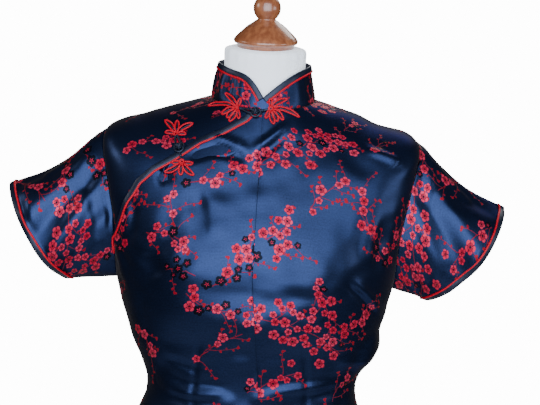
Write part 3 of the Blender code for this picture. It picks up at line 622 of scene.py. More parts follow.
def seam_refined(count: int, both: bool = False) -> Array:
    """Even shares from 0 to 1, with a few more close to the seams at the ends.

    Args:
        count: How many even shares there are.
        both: Whether they run from -1 to 1 instead.
    Returns:
        The shares in order.
    """
    near = np.array((0.003, 0.007))
    first = -1.0 if both else 0.0
    return np.sort(np.concatenate([np.linspace(first, 1.0, count), first + near, 1 - near]))


def seam_dip(distance: Array, width: float = 0.0022, depth: float = 0.0006) -> Array:
    """How cloth turns in towards a seam.

    Args:
        distance: Distances from the seam.
        width: How far the turn reaches.
        depth: How deep it is at the seam.
    Returns:
        Distances inwards.
    """
    return depth * np.exp(-((distance / width) ** 2))


@dataclass(frozen=True)
class Flora:
    """The elements of the brocade's repeat: blossoms, buds and twigs, each an array of rows."""

    blossoms: Array
    buds: Array
    twigs: Array


@dataclass(frozen=True)
class Bough:
    """A flowering bough of the repeat, as places on the flat cloth in metres."""

    x: float
    y: float
    end_x: float
    end_y: float
    bend: float
    blossoms: int
    spread: float
    dark: float
    twigs: int

    def ways(self) -> tuple[Array, Array]:
        """The bough's directions.

        Returns:
            Unit vectors along it and across it.
        """
        along = unit(np.array((self.end_x, self.end_y)) - np.array((self.x, self.y)))
        return along, np.array((-along[1], along[0]))

    def place(self, share: float) -> Array:
        """A place on the bough.

        Args:
            share: The share of the way to its tip.
        Returns:
            The place on the flat cloth.
        """
        start, end = np.array((self.x, self.y)), np.array((self.end_x, self.end_y))
        across = self.ways()[1]
        return start + (end - start) * share + across * self.bend * math.sin(math.pi * share)


@dataclass(frozen=True)
class Brocade:
    """Plum blossom on dark satin: one repeat, charted as a table of boughs."""

    width: float = 0.360
    height: float = 0.400
    seed: int = 7
    radii: tuple[float, ...] = (0.0046, 0.0054, 0.0062, 0.0068, 0.0074)
    crowding: float = 0.86
    tries: int = 500
    bough_steps: int = 9
    bough_half_width: float = 0.00042
    twig_half_width: float = 0.00030
    bud_radius: float = 0.0019
    block: int = 4000
    boughs: tuple[Bough, ...] = (
        Bough(0.040, 0.182, 0.114, 0.226, 0.008, 26, 0.018, 0.12, 9),
        Bough(-0.088, 0.128, -0.018, 0.146, -0.005, 7, 0.007, 0.40, 5),
        Bough(-0.006, 0.148, 0.030, 0.170, 0.004, 8, 0.009, 0.15, 3),
        Bough(0.062, 0.108, 0.110, 0.152, 0.005, 5, 0.005, 0.15, 8),
        Bough(0.182, 0.056, 0.126, 0.142, 0.014, 11, 0.009, 0.15, 9),
        Bough(-0.137, 0.073, -0.084, 0.050, 0.006, 8, 0.009, 0.20, 5),
        Bough(-0.096, 0.066, -0.106, 0.116, 0.003, 3, 0.004, 0.20, 5),
        Bough(-0.110, 0.022, -0.072, 0.010, 0.004, 6, 0.009, 1.00, 1),
        Bough(-0.052, -0.004, -0.006, 0.050, -0.010, 13, 0.010, 0.35, 6),
        Bough(0.010, 0.062, 0.040, 0.092, -0.004, 8, 0.008, 0.15, 4),
        Bough(0.024, 0.044, 0.046, 0.058, 0.004, 4, 0.006, 0.30, 3),
        Bough(-0.082, -0.014, -0.018, -0.036, -0.008, 9, 0.007, 0.40, 4),
        Bough(-0.006, -0.034, 0.112, -0.080, 0.012, 34, 0.023, 0.15, 8),
        Bough(0.072, 0.018, 0.094, -0.060, 0.006, 10, 0.008, 0.30, 6),
        Bough(0.112, -0.046, 0.154, -0.016, -0.006, 5, 0.007, 0.10, 6),
        Bough(-0.072, -0.110, -0.012, -0.064, 0.005, 3, 0.004, 0.10, 6),
        Bough(-0.004, -0.144, 0.060, -0.108, 0.006, 8, 0.008, 0.15, 5),
        Bough(-0.154, -0.062, -0.136, -0.104, 0.004, 4, 0.006, 0.10, 5),
        Bough(0.108, -0.148, 0.134, -0.120, 0.004, 3, 0.005, 0.10, 4),
        Bough(0.142, 0.210, 0.172, 0.234, 0.004, 3, 0.005, 0.10, 5),
        Bough(-0.178, 0.078, -0.152, 0.130, 0.006, 3, 0.004, 0.10, 8),
        Bough(-0.112, 0.200, -0.046, 0.218, 0.008, 9, 0.009, 0.20, 5),
    )

    def grown(self) -> Flora:
        """Grows each bough's blossoms, buds and twigs.

        Returns:
            The elements of one repeat.
        """
        blossoms: Rows = []
        buds: Rows = []
        twigs: Rows = []
        for index, bough in enumerate(self.boughs):
            chance = random.Random(self.seed * 100 + index)
            self.grow(bough, chance, blossoms, buds, twigs)
        return Flora(np.array(blossoms), np.array(buds), np.array(twigs))

    def grow(
        self,
        bough: Bough,
        chance: random.Random,
        blossoms: Rows,
        buds: Rows,
        twigs: Rows,
    ) -> None:
        """Adds one bough to the lists.

        Args:
            bough: The bough.
            chance: Its own source of chance, so that each run gives the same cloth.
            blossoms: Rows of x, y, radius, turn and kind, which are added to.
            buds: Rows of the same five, which are added to.
            twigs: Rows of x, y, end x, end y and half-width, which are added to.
        """
        along, across = bough.ways()
        shares = [step / self.bough_steps for step in range(self.bough_steps + 1)]
        line = [bough.place(share) + across * chance.uniform(-0.0012, 0.0012) for share in shares]
        for first, second in zip(line[:-1], line[1:]):
            twigs.append((*first, *second, self.bough_half_width))
        for index in range(bough.twigs):
            share = (index + chance.uniform(0.1, 0.9)) / bough.twigs
            side = 1 if index % 2 else -1
            self.grow_twig(bough.place(share), along, side, chance, buds, twigs)
        added: Rows = []
        for _ in range(self.tries):
            if len(added) == bough.blossoms:
                break
            share = chance.random()
            middle = bough.place(share) + across * chance.gauss(0, 0.55) * bough.spread
            middle = middle + along * chance.uniform(-0.006, 0.006)
            radius = chance.choice(self.radii)
            others = [*blossoms, *added]
            if any(math.dist(middle, row[:2]) < (radius + row[2]) * self.crowding for row in others):
                continue
            kind = 1.0 if chance.random() < bough.dark else 0.0
            added.append((*middle, radius, chance.uniform(0, 6.28), kind + chance.uniform(0.02, 0.9)))
        blossoms += added

    def grow_twig(
        self,
        root: Array,
        along: Array,
        side: int,
        chance: random.Random,
        buds: Rows,
        twigs: Rows,
    ) -> None:
        """Adds a side twig with its buds.

        Args:
            root: Where it leaves the bough.
            along: The bough's direction.
            side: The side of the bough that it grows to.
            chance: The bough's source of chance.
            buds: Rows of buds, which are added to.
            twigs: Rows of twigs, which are added to.
        """
        heading = math.atan2(along[1], along[0]) + side * chance.uniform(0.45, 1.1)
        place = np.array(root)
        steps = chance.choice((3, 4, 5))
        for step in range(steps):
            heading += chance.uniform(-0.35, 0.35)
            length = chance.uniform(0.005, 0.009)
            after = place + length * np.array((math.cos(heading), math.sin(heading)))
            twigs.append((*place, *after, self.twig_half_width))
            if step:
                out = heading + side * (1 if step % 2 else -1) * 1.2
                bud = after + 0.0022 * np.array((math.cos(out), math.sin(out)))
                buds.append((*bud, chance.uniform(0.0011, self.bud_radius), out, 0.5))
            place = after
        buds.append((*place, self.bud_radius, heading, 0.5))

    def chart(self, mesh: bpy.types.Mesh, flora: Flora, shift: Pair) -> None:
        """Gives every face's corners their places beside the nearest elements of the repeat.

        Args:
            mesh: The cloth's mesh, with its flat places in a UV map.
            flora: The elements of one repeat.
            shift: Where the repeat starts on this piece of cloth.
        """
        corners = np.empty(len(mesh.loops) * 2, np.float32)
        mesh.uv_layers["cloth"].data.foreach_get("uv", corners)
        starts = np.empty(len(mesh.polygons), np.int32)
        totals = np.empty(len(mesh.polygons), np.int32)
        mesh.polygons.foreach_get("loop_start", starts)
        mesh.polygons.foreach_get("loop_total", totals)
        corners = corners.reshape(-1, 2).astype(float) + np.array(shift)
        face_of = np.repeat(np.arange(len(starts)), totals)
        middles = np.add.reduceat(corners, starts, axis=0) / totals[:, None]
        for name, rows in (("bloom", flora.blossoms), ("bud", flora.buds)):
            self.chart_discs(mesh, name, rows, middles, corners, face_of)
        self.chart_twigs(mesh, flora.twigs, middles, corners, face_of)

    def wrapped(self, offsets: Array) -> Array:
        """Offsets to the nearest repeat of a place.

        Args:
            offsets: Offsets on the flat cloth, in the last axis.
        Returns:
            The offsets within half a repeat.
        """
        size = np.array((self.width, self.height))
        return (offsets + size / 2) % size - size / 2

    def chart_discs(
        self, mesh: bpy.types.Mesh, name: str, rows: Array, middles: Array, corners: Array, face_of: Array
    ) -> None:
        """Writes each corner's place within the two nearest blossoms or buds, in radii.

        Args:
            mesh: The cloth's mesh.
            name: What the two attributes' names start with.
            rows: Rows of x, y, radius, turn and kind.
            middles: The faces' middles on the flat cloth.
            corners: The corners' places on the flat cloth.
            face_of: The face of each corner.
        """
        chosen = np.empty((len(middles), 2), int)
        for first in range(0, len(middles), self.block):
            part = slice(first, first + self.block)
            away = self.wrapped(middles[part, None] - rows[None, :, :2])
            near = np.linalg.norm(away, axis=2) - rows[:, 2]
            chosen[part] = np.argsort(near, axis=1)[:, :2]
        for slot in range(2):
            row = rows[chosen[:, slot]]
            moved = self.wrapped(middles - row[:, :2]) - (middles - row[:, :2])
            local = corners - row[face_of, :2] + moved[face_of]
            cosine, sine = np.cos(row[face_of, 3]), np.sin(row[face_of, 3])
            across = (local[:, 0] * cosine + local[:, 1] * sine) / row[face_of, 2]
            up = (local[:, 1] * cosine - local[:, 0] * sine) / row[face_of, 2]
            self.write(mesh, f"{name}_{slot}", np.stack([across, up, row[face_of, 4]], axis=1))

    def chart_twigs(
        self, mesh: bpy.types.Mesh, rows: Array, middles: Array, corners: Array, face_of: Array
    ) -> None:
        """Writes each corner's place along and beside the two nearest twigs.

        Args:
            mesh: The cloth's mesh.
            rows: Rows of x, y, end x, end y and half-width.
            middles: The faces' middles on the flat cloth.
            corners: The corners' places on the flat cloth.
            face_of: The face of each corner.
        """
        spans = rows[:, 2:4] - rows[:, :2]
        lengths = np.linalg.norm(spans, axis=1)
        ways = spans / lengths[:, None]
        chosen = np.empty((len(middles), 2), int)
        for first in range(0, len(middles), self.block):
            part = slice(first, first + self.block)
            away = self.wrapped(middles[part, None] - (rows[None, :, :2] + spans / 2))
            along = np.einsum("fri,ri->fr", away, ways)
            beyond = np.maximum(np.abs(along) - lengths / 2, 0.0)
            across = away[..., 0] * -ways[:, 1] + away[..., 1] * ways[:, 0]
            chosen[part] = np.argsort(np.hypot(beyond, across), axis=1)[:, :2]
        for slot in range(2):
            which = chosen[:, slot]
            centre = rows[which, :2] + spans[which] / 2
            moved = self.wrapped(middles - centre) - (middles - centre)
            local = corners - centre[face_of] + moved[face_of]
            way, length, half = ways[which][face_of], lengths[which][face_of], rows[which, 4][face_of]
            along = (local * way).sum(axis=1)
            across = local[:, 0] * -way[:, 1] + local[:, 1] * way[:, 0]
            beyond = (along - length / 2) / half
            before = (-along - length / 2) / half
            self.write(mesh, f"twig_{slot}", np.stack([beyond, before, across / half], axis=1))

    @staticmethod
    def write(mesh: bpy.types.Mesh, name: str, values: Array) -> None:
        """Stores three numbers for each corner of the mesh.

        Args:
            mesh: The mesh.
            name: The attribute's name.
            values: Three numbers a corner.
        """
        attribute = mesh.attributes.new(name, "FLOAT_VECTOR", "CORNER")
        attribute.data.foreach_set("vector", values.astype(np.float32).ravel())


def operator(kind: str, flipped: bool = False) -> Callable[..., Wire]:
    """Makes a method that adds one Math node.

    Args:
        kind: The node's operation.
        flipped: Whether the wire itself comes last.
    Returns:
        The method.
    """

    def apply(wire: Wire, *others: Wire | float) -> Wire:
        """Applies the operation.

        Args:
            wire: The wire.
            *others: The other values.
        Returns:
            The node's output.
        """
        return wire.math(kind, *((*others, wire) if flipped else (wire, *others)))

    return apply


class Wire:
    """A socket's value, with arithmetic that makes Math nodes."""

    def __init__(self, tree: bpy.types.NodeTree, socket: bpy.types.NodeSocket) -> None:
        """Wraps a socket.

        Args:
            tree: The node tree.
            socket: The output socket.
        """
        self.tree = tree
        self.socket = socket

    def math(self, operation: str, *values: Wire | float) -> Wire:
        """Makes one Math node.

        Args:
            operation: The node's operation.
            *values: Its inputs.
        Returns:
            Its output.
        """
        node = self.tree.nodes.new("ShaderNodeMath")
        node.operation = operation
        for entry, value in zip(node.inputs, values):
            if isinstance(value, Wire):
                self.tree.links.new(value.socket, entry)
            else:
                entry.default_value = value
        return Wire(self.tree, node.outputs[0])

    __add__ = __radd__ = operator("ADD")
    __mul__ = __rmul__ = operator("MULTIPLY")
    __sub__, __rsub__ = operator("SUBTRACT"), operator("SUBTRACT", flipped=True)
    __pow__, __mod__ = operator("POWER"), operator("FLOORED_MODULO")
    __lt__, __gt__ = operator("LESS_THAN"), operator("GREATER_THAN")
    __abs__, sine, cosine = operator("ABSOLUTE"), operator("SINE"), operator("COSINE")
    least, most, angle = operator("MINIMUM"), operator("MAXIMUM"), operator("ARCTAN2")
    fraction = operator("FRACT")

    def clear(self) -> Wire:
        """The value held between 0 and 1.

        Returns:
            The held value.
        """
        return self.least(1.0).most(0.0)


class Paint:
    """Builds one material's nodes."""

    def __init__(self, name: str) -> None:
        """Starts a material.

        Args:
            name: The material's name.
        """
        self.material = bpy.data.materials.new(name)
        self.material.use_nodes = True
        self.tree = self.material.node_tree
        self.shader = self.tree.nodes["Principled BSDF"]

    def node(self, kind: str, inputs: dict[str, object] | None = None, **settings: object) -> bpy.types.Node:
        """Makes a node.

        Args:
            kind: Its type, without the leading ShaderNode.
            inputs: Values or wires for its inputs, by name.
            **settings: Its properties.
        Returns:
            The node.
        """
        made = self.tree.nodes.new("ShaderNode" + kind)
        for name, value in settings.items():
            setattr(made, name, value)
        for name, value in (inputs or {}).items():
            if isinstance(value, Wire):
                self.tree.links.new(value.socket, made.inputs[name])
            else:
                made.inputs[name].default_value = value
        return made

    def wire(self, socket: bpy.types.NodeSocket) -> Wire:
        """Wraps an output for arithmetic.

        Args:
            socket: The output socket.
        Returns:
            The wire.
        """
        return Wire(self.tree, socket)

    def place(self) -> Wire:
        """The point on the object.

        Returns:
            Its Object coordinates.
        """
        return self.wire(self.node("TexCoord").outputs["Object"])

    def parts(self, socket: bpy.types.NodeSocket) -> tuple[Wire, Wire, Wire]:
        """Splits a vector.

        Args:
            socket: The vector's output socket.
        Returns:
            Its three numbers.
        """
        split = self.node("SeparateXYZ", {"Vector": self.wire(socket)})
        return self.wire(split.outputs[0]), self.wire(split.outputs[1]), self.wire(split.outputs[2])

    def attribute(self, name: str) -> tuple[Wire, Wire, Wire]:
        """Reads one of the mesh's own attributes.

        Args:
            name: The attribute's name.
        Returns:
            Its three numbers.
        """
        return self.parts(self.node("Attribute", attribute_name=name).outputs["Vector"])

    def noise(self, vector: Wire, scale: float, detail: float = 3.0, roughness: float = 0.5) -> Wire:
        """A noise from 0 to 1.

        Args:
            vector: Where it is read.
            scale: How fine it is.
            detail: How many finer layers it has.
            roughness: How strong those are.
        Returns:
            The noise.
        """
        inputs = {"Vector": vector, "Scale": scale, "Detail": detail, "Roughness": roughness}
        made = self.node("TexNoise", inputs)
        return self.wire(made.outputs[0])

    def stretched(self, vector: Wire, scale: Colour) -> Wire:
        """A vector scaled along each axis.

        Args:
            vector: The vector.
            scale: The three factors.
        Returns:
            The scaled vector.
        """
        made = self.node("VectorMath", {0: vector, 1: scale}, operation="MULTIPLY")
        return self.wire(made.outputs[0])

    def blend(self, share: Wire, first: Wire | Colour, second: Wire | Colour) -> Wire:
        """Mixes two colours.

        Args:
            share: How much of the second shows.
            first: The first colour.
            second: The second colour.
        Returns:
            The mixed colour.
        """
        made = self.node("Mix", {0: share}, data_type="RGBA", clamp_factor=True)
        for entry, value in ((made.inputs[6], first), (made.inputs[7], second)):
            if isinstance(value, Wire):
                self.tree.links.new(value.socket, entry)
            else:
                entry.default_value = (*value, 1.0)
        return self.wire(made.outputs[2])

    def bump(self, height: Wire, distance: float, strength: float = 1.0) -> Wire:
        """A bumped normal.

        Args:
            height: The height, in units of distance.
            distance: How far a height of 1 stands out.
            strength: How strongly it shows.
        Returns:
            The normal.
        """
        made = self.node("Bump", {"Height": height, "Distance": distance, "Strength": strength})
        return self.wire(made.outputs["Normal"])

    def finish(self, constants: dict[str, object] | None = None, **links: Wire) -> bpy.types.Material:
        """Sets the shader's inputs.

        Args:
            constants: Fixed values, by the input's name.
            **links: Wires, by the input's name with underscores.
        Returns:
            The finished material.
        """
        for name, value in (constants or {}).items():
            self.shader.inputs[name].default_value = value
        for name, wire in links.items():
            self.tree.links.new(wire.socket, self.shader.inputs[name.replace("_", " ")])
        return self.material


@dataclass(frozen=True)
class BrocadeSatin:
    """The dress's cloth: dark satin with woven blossoms, buds and twigs."""

    ground: Colour = (0.0205, 0.0340, 0.0900)
    ground_deep: Colour = (0.0085, 0.0125, 0.0300)
    red: Colour = (0.440, 0.004, 0.026)
    # Painted highlight: a pink that stands in for the red thread's highlights.
    pink_highlight: Colour = (0.700, 0.060, 0.120)
    twig: Colour = (0.230, 0.005, 0.012)
    dark: Colour = (0.0025, 0.0030, 0.0060)
    ground_rough: float = 0.32
    thread_rough: float = 0.40
    metallic: float = 0.88

    def blossom(self, paint: Paint, name: str) -> tuple[Wire, Wire, Wire]:
        """The parts of the blossom that a corner lies in.

        Args:
            paint: The material's nodes.
            name: The blossom attribute's name.
        Returns:
            Where red thread shows, where dark thread shows, and the blossom's share of the pink painted
            highlight.
        """
        u, v, kind = paint.attribute(name)
        radius = (u * u + v * v) ** 0.5
        turn = v.angle(u)
        fifth = 2 * math.pi / 5
        within = abs((turn + fifth / 2) % fifth - fifth / 2)
        ahead = radius * within.cosine()
        aside = radius * within.sine()
        petal = (ahead - 0.57) * (ahead - 0.57) + aside * aside < 0.165
        heart = radius < 0.17
        stamen = (aside < 0.045) * (radius < 0.56) * (radius > 0.1)
        anther = abs(radius - 0.50) < 0.07
        anther = anther * (abs(within - fifth / 4) < 0.10)
        edge = (fifth / 2 - within) * radius < 0.055
        lines = stamen.most(anther).most(heart)
        is_dark = kind > 1.0
        shape = petal.most(radius < 0.3)
        red_lit = shape * (1 - edge.least(radius > 0.2)) * (1 - lines)
        red_dark = shape * stamen * (radius < 0.42)
        red = red_lit * (1 - is_dark) + red_dark * is_dark
        dark = shape * (1 - red)
        return red, dark, kind.fraction()

    def made(self, name: str) -> bpy.types.Material:
        """Builds the material.

        Args:
            name: The material's name.
        Returns:
            The material.
        """
        paint = Paint(name)
        cloth = paint.wire(paint.node("UVMap", uv_map="cloth").outputs[0])
        place = paint.place()
        red_0, dark_0, tint_0 = self.blossom(paint, "bloom_0")
        red_1, dark_1, tint_1 = self.blossom(paint, "bloom_1")
        first = red_0.most(dark_0)
        red = red_0 + (1 - first) * red_1
        dark = dark_0 + (1 - first) * dark_1
        covered = red.most(dark)
        small = None
        for slot in range(2):
            u, v, _ = paint.attribute(f"bud_{slot}")
            bud = (u * u * 0.7 + v * v * 1.3) < 0.9
            beyond, before, across = paint.attribute(f"twig_{slot}")
            twig = (beyond < 0.6) * (before < 0.6) * (abs(across) < 1.0)
            here = bud.most(twig)
            small = here if small is None else small.most(here)
        thread = red.most(small * (1 - covered))
        tint = tint_0 * red_0 + tint_1 * (1 - first) * red_1
        weave = paint.noise(paint.stretched(cloth, (2600.0, 420.0, 1.0)), 1.0, 1.0)
        slub = paint.noise(paint.stretched(cloth, (40.0, 420.0, 1.0)), 1.0, 2.0)
        broad = paint.noise(place, 9.0, 2.0)
        # Painted glints: fine speckles lighten and darken the ground colour as if the satin caught the light.
        # The broad and slub noises are the cloth's own uneven tone.
        painted_glint = paint.noise(cloth, 520.0, 2.0)
        tone_and_glint_share = (broad * 0.7 + slub * 0.3 + (painted_glint - 0.5) * 0.9).clear()
        ground = paint.blend(tone_and_glint_share, self.ground_deep, self.ground)
        # Painted highlight: the thread's own red is mixed with a pink that stands in for its highlights.
        # There is more of it on some blossoms and along the weave, not where light falls.
        red_with_painted_highlight = paint.blend((tint * 0.5 + weave * 0.5 - 0.25).clear(), self.red, self.pink_highlight)
        colour = paint.blend(dark, ground, self.dark)
        colour = paint.blend(small * (1 - covered), colour, self.twig)
        colour = paint.blend(red, colour, red_with_painted_highlight)
        rough = self.ground_rough + thread * (self.thread_rough - self.ground_rough) + weave * 0.08
        height = thread * 0.8 + dark * 0.45 + weave * 0.25 + slub * 0.12
        metal = self.metallic - thread * 0.50 - dark * 0.5
        return paint.finish(
            {
                "Specular IOR Level": 0.35,
                "Specular Tint": (0.16, 0.20, 0.30, 1.0),
                "Sheen Weight": 0.05,
                "Sheen Roughness": 0.35,
                "Sheen Tint": (1.0, 0.86, 0.72, 1.0),
            },
            Base_Color=colour,
            Roughness=rough,
            Metallic=metal,
            Normal=paint.bump(height, 0.00022, 0.55),
        )


@dataclass(frozen=True)
class PlainSatin:
    """Bias-cut satin of the bindings and ball buttons, with fine cross ribs and small puckers."""

    colour: Colour = (0.0060, 0.0090, 0.0200)
    # The lighter colour is painted sheen, shown where the puckers rise.
    light: Colour = (0.0140, 0.0200, 0.0420)
    rough: float = 0.36

    def made(self, name: str) -> bpy.types.Material:
        """Builds the material.

        Args:
            name: The material's name.
        Returns:
            The material.
        """
        paint = Paint(name)
        place = paint.place()
        pucker = paint.noise(place, 160.0, 2.0)
        fine = paint.noise(place, 1500.0, 1.0)
        # Painted sheen: the binding turns lighter where its puckers rise, as if their crests caught the
        # light.
        colour = paint.blend(pucker, self.colour, self.light)
        height = pucker * 0.8 + fine * 0.2
        return paint.finish(
            {"Metallic": 0.55},
            Base_Color=colour,
            Roughness=self.rough + pucker * 0.10,
            Normal=paint.bump(height, 0.0005, 0.6),
        )


@dataclass(frozen=True)
class RedCord:
    """Twisted rayon cord of the pipings and frogs."""

    colour: Colour = (0.260, 0.000, 0.007)
    # The lighter red is painted highlight on the plies' crowns.
    light: Colour = (0.560, 0.000, 0.014)
    rough: float = 0.46

    def made(self, name: str) -> bpy.types.Material:
        """Builds the material.

        Args:
            name: The material's name.
        Returns:
            The material.
        """
        paint = Paint(name)
        along, around, _ = paint.parts(paint.node("UVMap", uv_map="cloth").outputs[0])
        twist = (along * 2600.0 + around * 12.566).sine()
        ply = twist * 0.5 + 0.5
        # Painted highlight and shade: each ply's crown is lighter and the groove between plies darker,
        # following the twist.
        colour = paint.blend(ply, self.colour, self.light)
        return paint.finish(
            {"Specular IOR Level": 0.2},
            Base_Color=colour,
            Roughness=self.rough + ply * 0.05,
            Normal=paint.bump(ply, 0.00025, 0.6),
        )


@dataclass(frozen=True)
class Jersey:
    """The dress form's knitted white cover."""

    colour: Colour = (0.80, 0.82, 0.86)
    shade: Colour = (0.66, 0.69, 0.75)

    def made(self, name: str) -> bpy.types.Material:
        """Builds the material.

        Args:
            name: The material's name.
        Returns:
            The material.
        """
        paint = Paint(name)
        across, up, _ = paint.parts(paint.node("UVMap", uv_map="cloth").outputs[0])
        place = paint.place()
        wale = (across * 4200.0).sine()
        course = (up * 5200.0 + abs(wale) * 1.6).sine()
        stitch = abs(wale) * 0.6 + course * 0.25
        broad = paint.noise(place, 30.0, 3.0)
        colour = paint.blend((broad * 0.6 + stitch * 0.3).clear(), self.shade, self.colour)
        return paint.finish(
            {
                "Roughness": 0.88,
                "Sheen Weight": 0.3,
                "Sheen Roughness": 0.6,
                # Painted light: the jersey glows faintly so that the white form looks brightly lit.
                "Emission Color": (0.86, 0.93, 1.0, 1.0),
                "Emission Strength": 0.70,
            },
            Base_Color=colour,
            Normal=paint.bump(stitch + broad * 2.0, 0.0004, 0.5),
        )


@dataclass(frozen=True)
class TurnedWood:
    """Stained and varnished beech of the cap, pole and foot."""

    light: Colour = (0.400, 0.150, 0.058)
    dark: Colour = (0.170, 0.050, 0.020)
    rough: float = 0.26

    def made(self, name: str) -> bpy.types.Material:
        """Builds the material.

        Args:
            name: The material's name.
        Returns:
            The material.
        """
        paint = Paint(name)
        place = paint.place()
        grain = paint.noise(paint.stretched(place, (160.0, 160.0, 11.0)), 1.0, 4.0, 0.6)
        pores = paint.noise(paint.stretched(place, (900.0, 900.0, 60.0)), 1.0, 2.0, 0.6)
        broad = paint.noise(place, 14.0, 2.0)
        share = ((grain - 0.35) * 1.6 + (pores - 0.5) * 0.5 + (broad - 0.5) * 0.6).clear()
        colour = paint.blend(share, self.dark, self.light)
        return paint.finish(
            {"Coat Weight": 0.7, "Coat Roughness": 0.10},
            Base_Color=colour,
            Roughness=self.rough + grain * 0.18,
            Normal=paint.bump(grain * 0.5 + pores * 0.5, 0.0002, 0.35),
        )


class Maker:
    """Turns grids and routes of points into mesh objects."""

    @staticmethod
    def grid(
        name: str,
        points: Array,
        flat: Array,
        merge: bool = False,
        cap: bool = False,
        material: int = 0,
    ) -> bpy.types.Object:
        """Places a grid's vertices, rows by columns, and keeps each corner's flat place.

        Args:
            name: The object's name.
            points: The points, in rows and columns.
            flat: Each point's place on the flat cloth.
            merge: Whether points at the same place become one.
            cap: Whether open ends are filled and the faces turned outwards.
            material: The index of its material.
        Returns:
            The object, linked to the scene.
        """
        rows, columns = points.shape[:2]
        mesh = bmesh.new()
        bmesh.ops.create_grid(mesh, x_segments=columns - 1, y_segments=rows - 1, size=0.5)
        layer = mesh.loops.layers.uv.new("cloth")
        places = flat.reshape(-1, 2)
        for vertex, point in zip(mesh.verts, points.reshape(-1, 3)):
            vertex.co = point
        for face in mesh.faces:
            face.smooth = True
            face.material_index = material
            for loop in face.loops:
                loop[layer].uv = places[loop.vert.index]
        if merge:
            bmesh.ops.remove_doubles(mesh, verts=mesh.verts, dist=2e-6)
        if cap:
            bmesh.ops.holes_fill(mesh, edges=[edge for edge in mesh.edges if edge.is_boundary], sides=0)
            bmesh.ops.recalc_face_normals(mesh, faces=mesh.faces)
        return Maker.linked(name, mesh)

    @staticmethod
    def linked(name: str, mesh: bmesh.types.BMesh) -> bpy.types.Object:
        """Makes an object from an edited mesh, which is used up.

        Args:
            name: The object's name.
            mesh: The edited mesh.
        Returns:
            The object, linked to the scene.
        """
        data = bpy.data.meshes.new(name)
        mesh.to_mesh(data)
        mesh.free()
        made = bpy.data.objects.new(name, data)
        bpy.context.scene.collection.objects.link(made)
        return made

    @staticmethod
    def swept(
        name: str,
        route: Array,
        normals: Array,
        profile: Array,
        material: int = 0,
        closed: bool = False,
    ) -> bpy.types.Object:
        """Sweeps a closed profile along a route.

        Args:
            name: The object's name.
            route: The route's points.
            normals: The direction that each place's profile has upmost.
            profile: Points of the profile as (across, up).
            material: The index of its material.
            closed: Whether the route's ends meet.
        Returns:
            The object.
        """
        if closed:
            ways = np.roll(route, -1, axis=0) - np.roll(route, 1, axis=0)
        else:
            ways = np.gradient(route, axis=0)
        ways = unit(ways)
        across = unit(np.cross(ways, normals))
        up = np.cross(across, ways)
        ring = np.concatenate([profile, profile[:1]])
        points = route[:, None] + across[:, None] * ring[None, :, :1] + up[:, None] * ring[None, :, 1:]
        lengths = path_lengths(route)
        around = np.linspace(0, 1, len(ring))
        flat = np.stack(np.broadcast_arrays(lengths[:, None], around[None, :]), axis=-1)
        if closed:
            points = np.concatenate([points, points[:1]])
            flat = np.concatenate([flat, flat[-1:] + np.array((0.001, 0.0))])
        return Maker.grid(name, points, flat, merge=True, cap=True, material=material)

    @staticmethod
    def turned(name: str, profile: Array, steps: int = 96) -> bpy.types.Object:
        """Spins a profile about Z.

        Args:
            name: The object's name.
            profile: (radius, height) points down the outer side.
            steps: How many sides it has.
        Returns:
            The object.
        """
        turns = np.linspace(0, 2 * math.pi, steps + 1)
        radius, height = profile[:, :1], profile[:, 1:]
        points = np.stack(
            np.broadcast_arrays(radius * np.cos(turns), radius * np.sin(turns), height + turns * 0), axis=-1
        )
        flat = np.stack(np.broadcast_arrays(turns * 0.03, height + turns * 0), axis=-1)
        return Maker.grid(name, points, flat, merge=True, cap=True)


def smooth_route(points: Array, count: int) -> Array:
    """Reads a smooth curve through a few points.

    Args:
        points: The points.
        count: How many points the curve gets.
    Returns:
        The curve's points, spaced evenly.
    """
    padded = np.concatenate([[2 * points[0] - points[1]], points, [2 * points[-1] - points[-2]]])
    shares = np.linspace(0, len(points) - 1, (len(points) - 1) * 8 + 1)
    low = np.minimum(shares.astype(int), len(points) - 2)
    share = (shares - low)[:, None]
    curve = between([padded[low + step] for step in range(4)], share)
    lengths = path_lengths(curve)
    even = np.linspace(0, lengths[-1], count)
    return np.stack([np.interp(even, lengths, curve[:, axis]) for axis in range(points.shape[1])], axis=1)


def settled(
    obj: bpy.types.Object, nodes: Sequence[str], materials: Sequence[bpy.types.Material]
) -> bpy.types.Object:
    """Lets a piece ride on the frame and stand for its CAD nodes.

    Args:
        obj: The piece.
        nodes: The nodes that it stands for.
        materials: Its materials.
    Returns:
        The piece.
    """
    for material in materials:
        obj.data.materials.append(material)
    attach(obj, BODY)
    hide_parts(*nodes)
    return obj


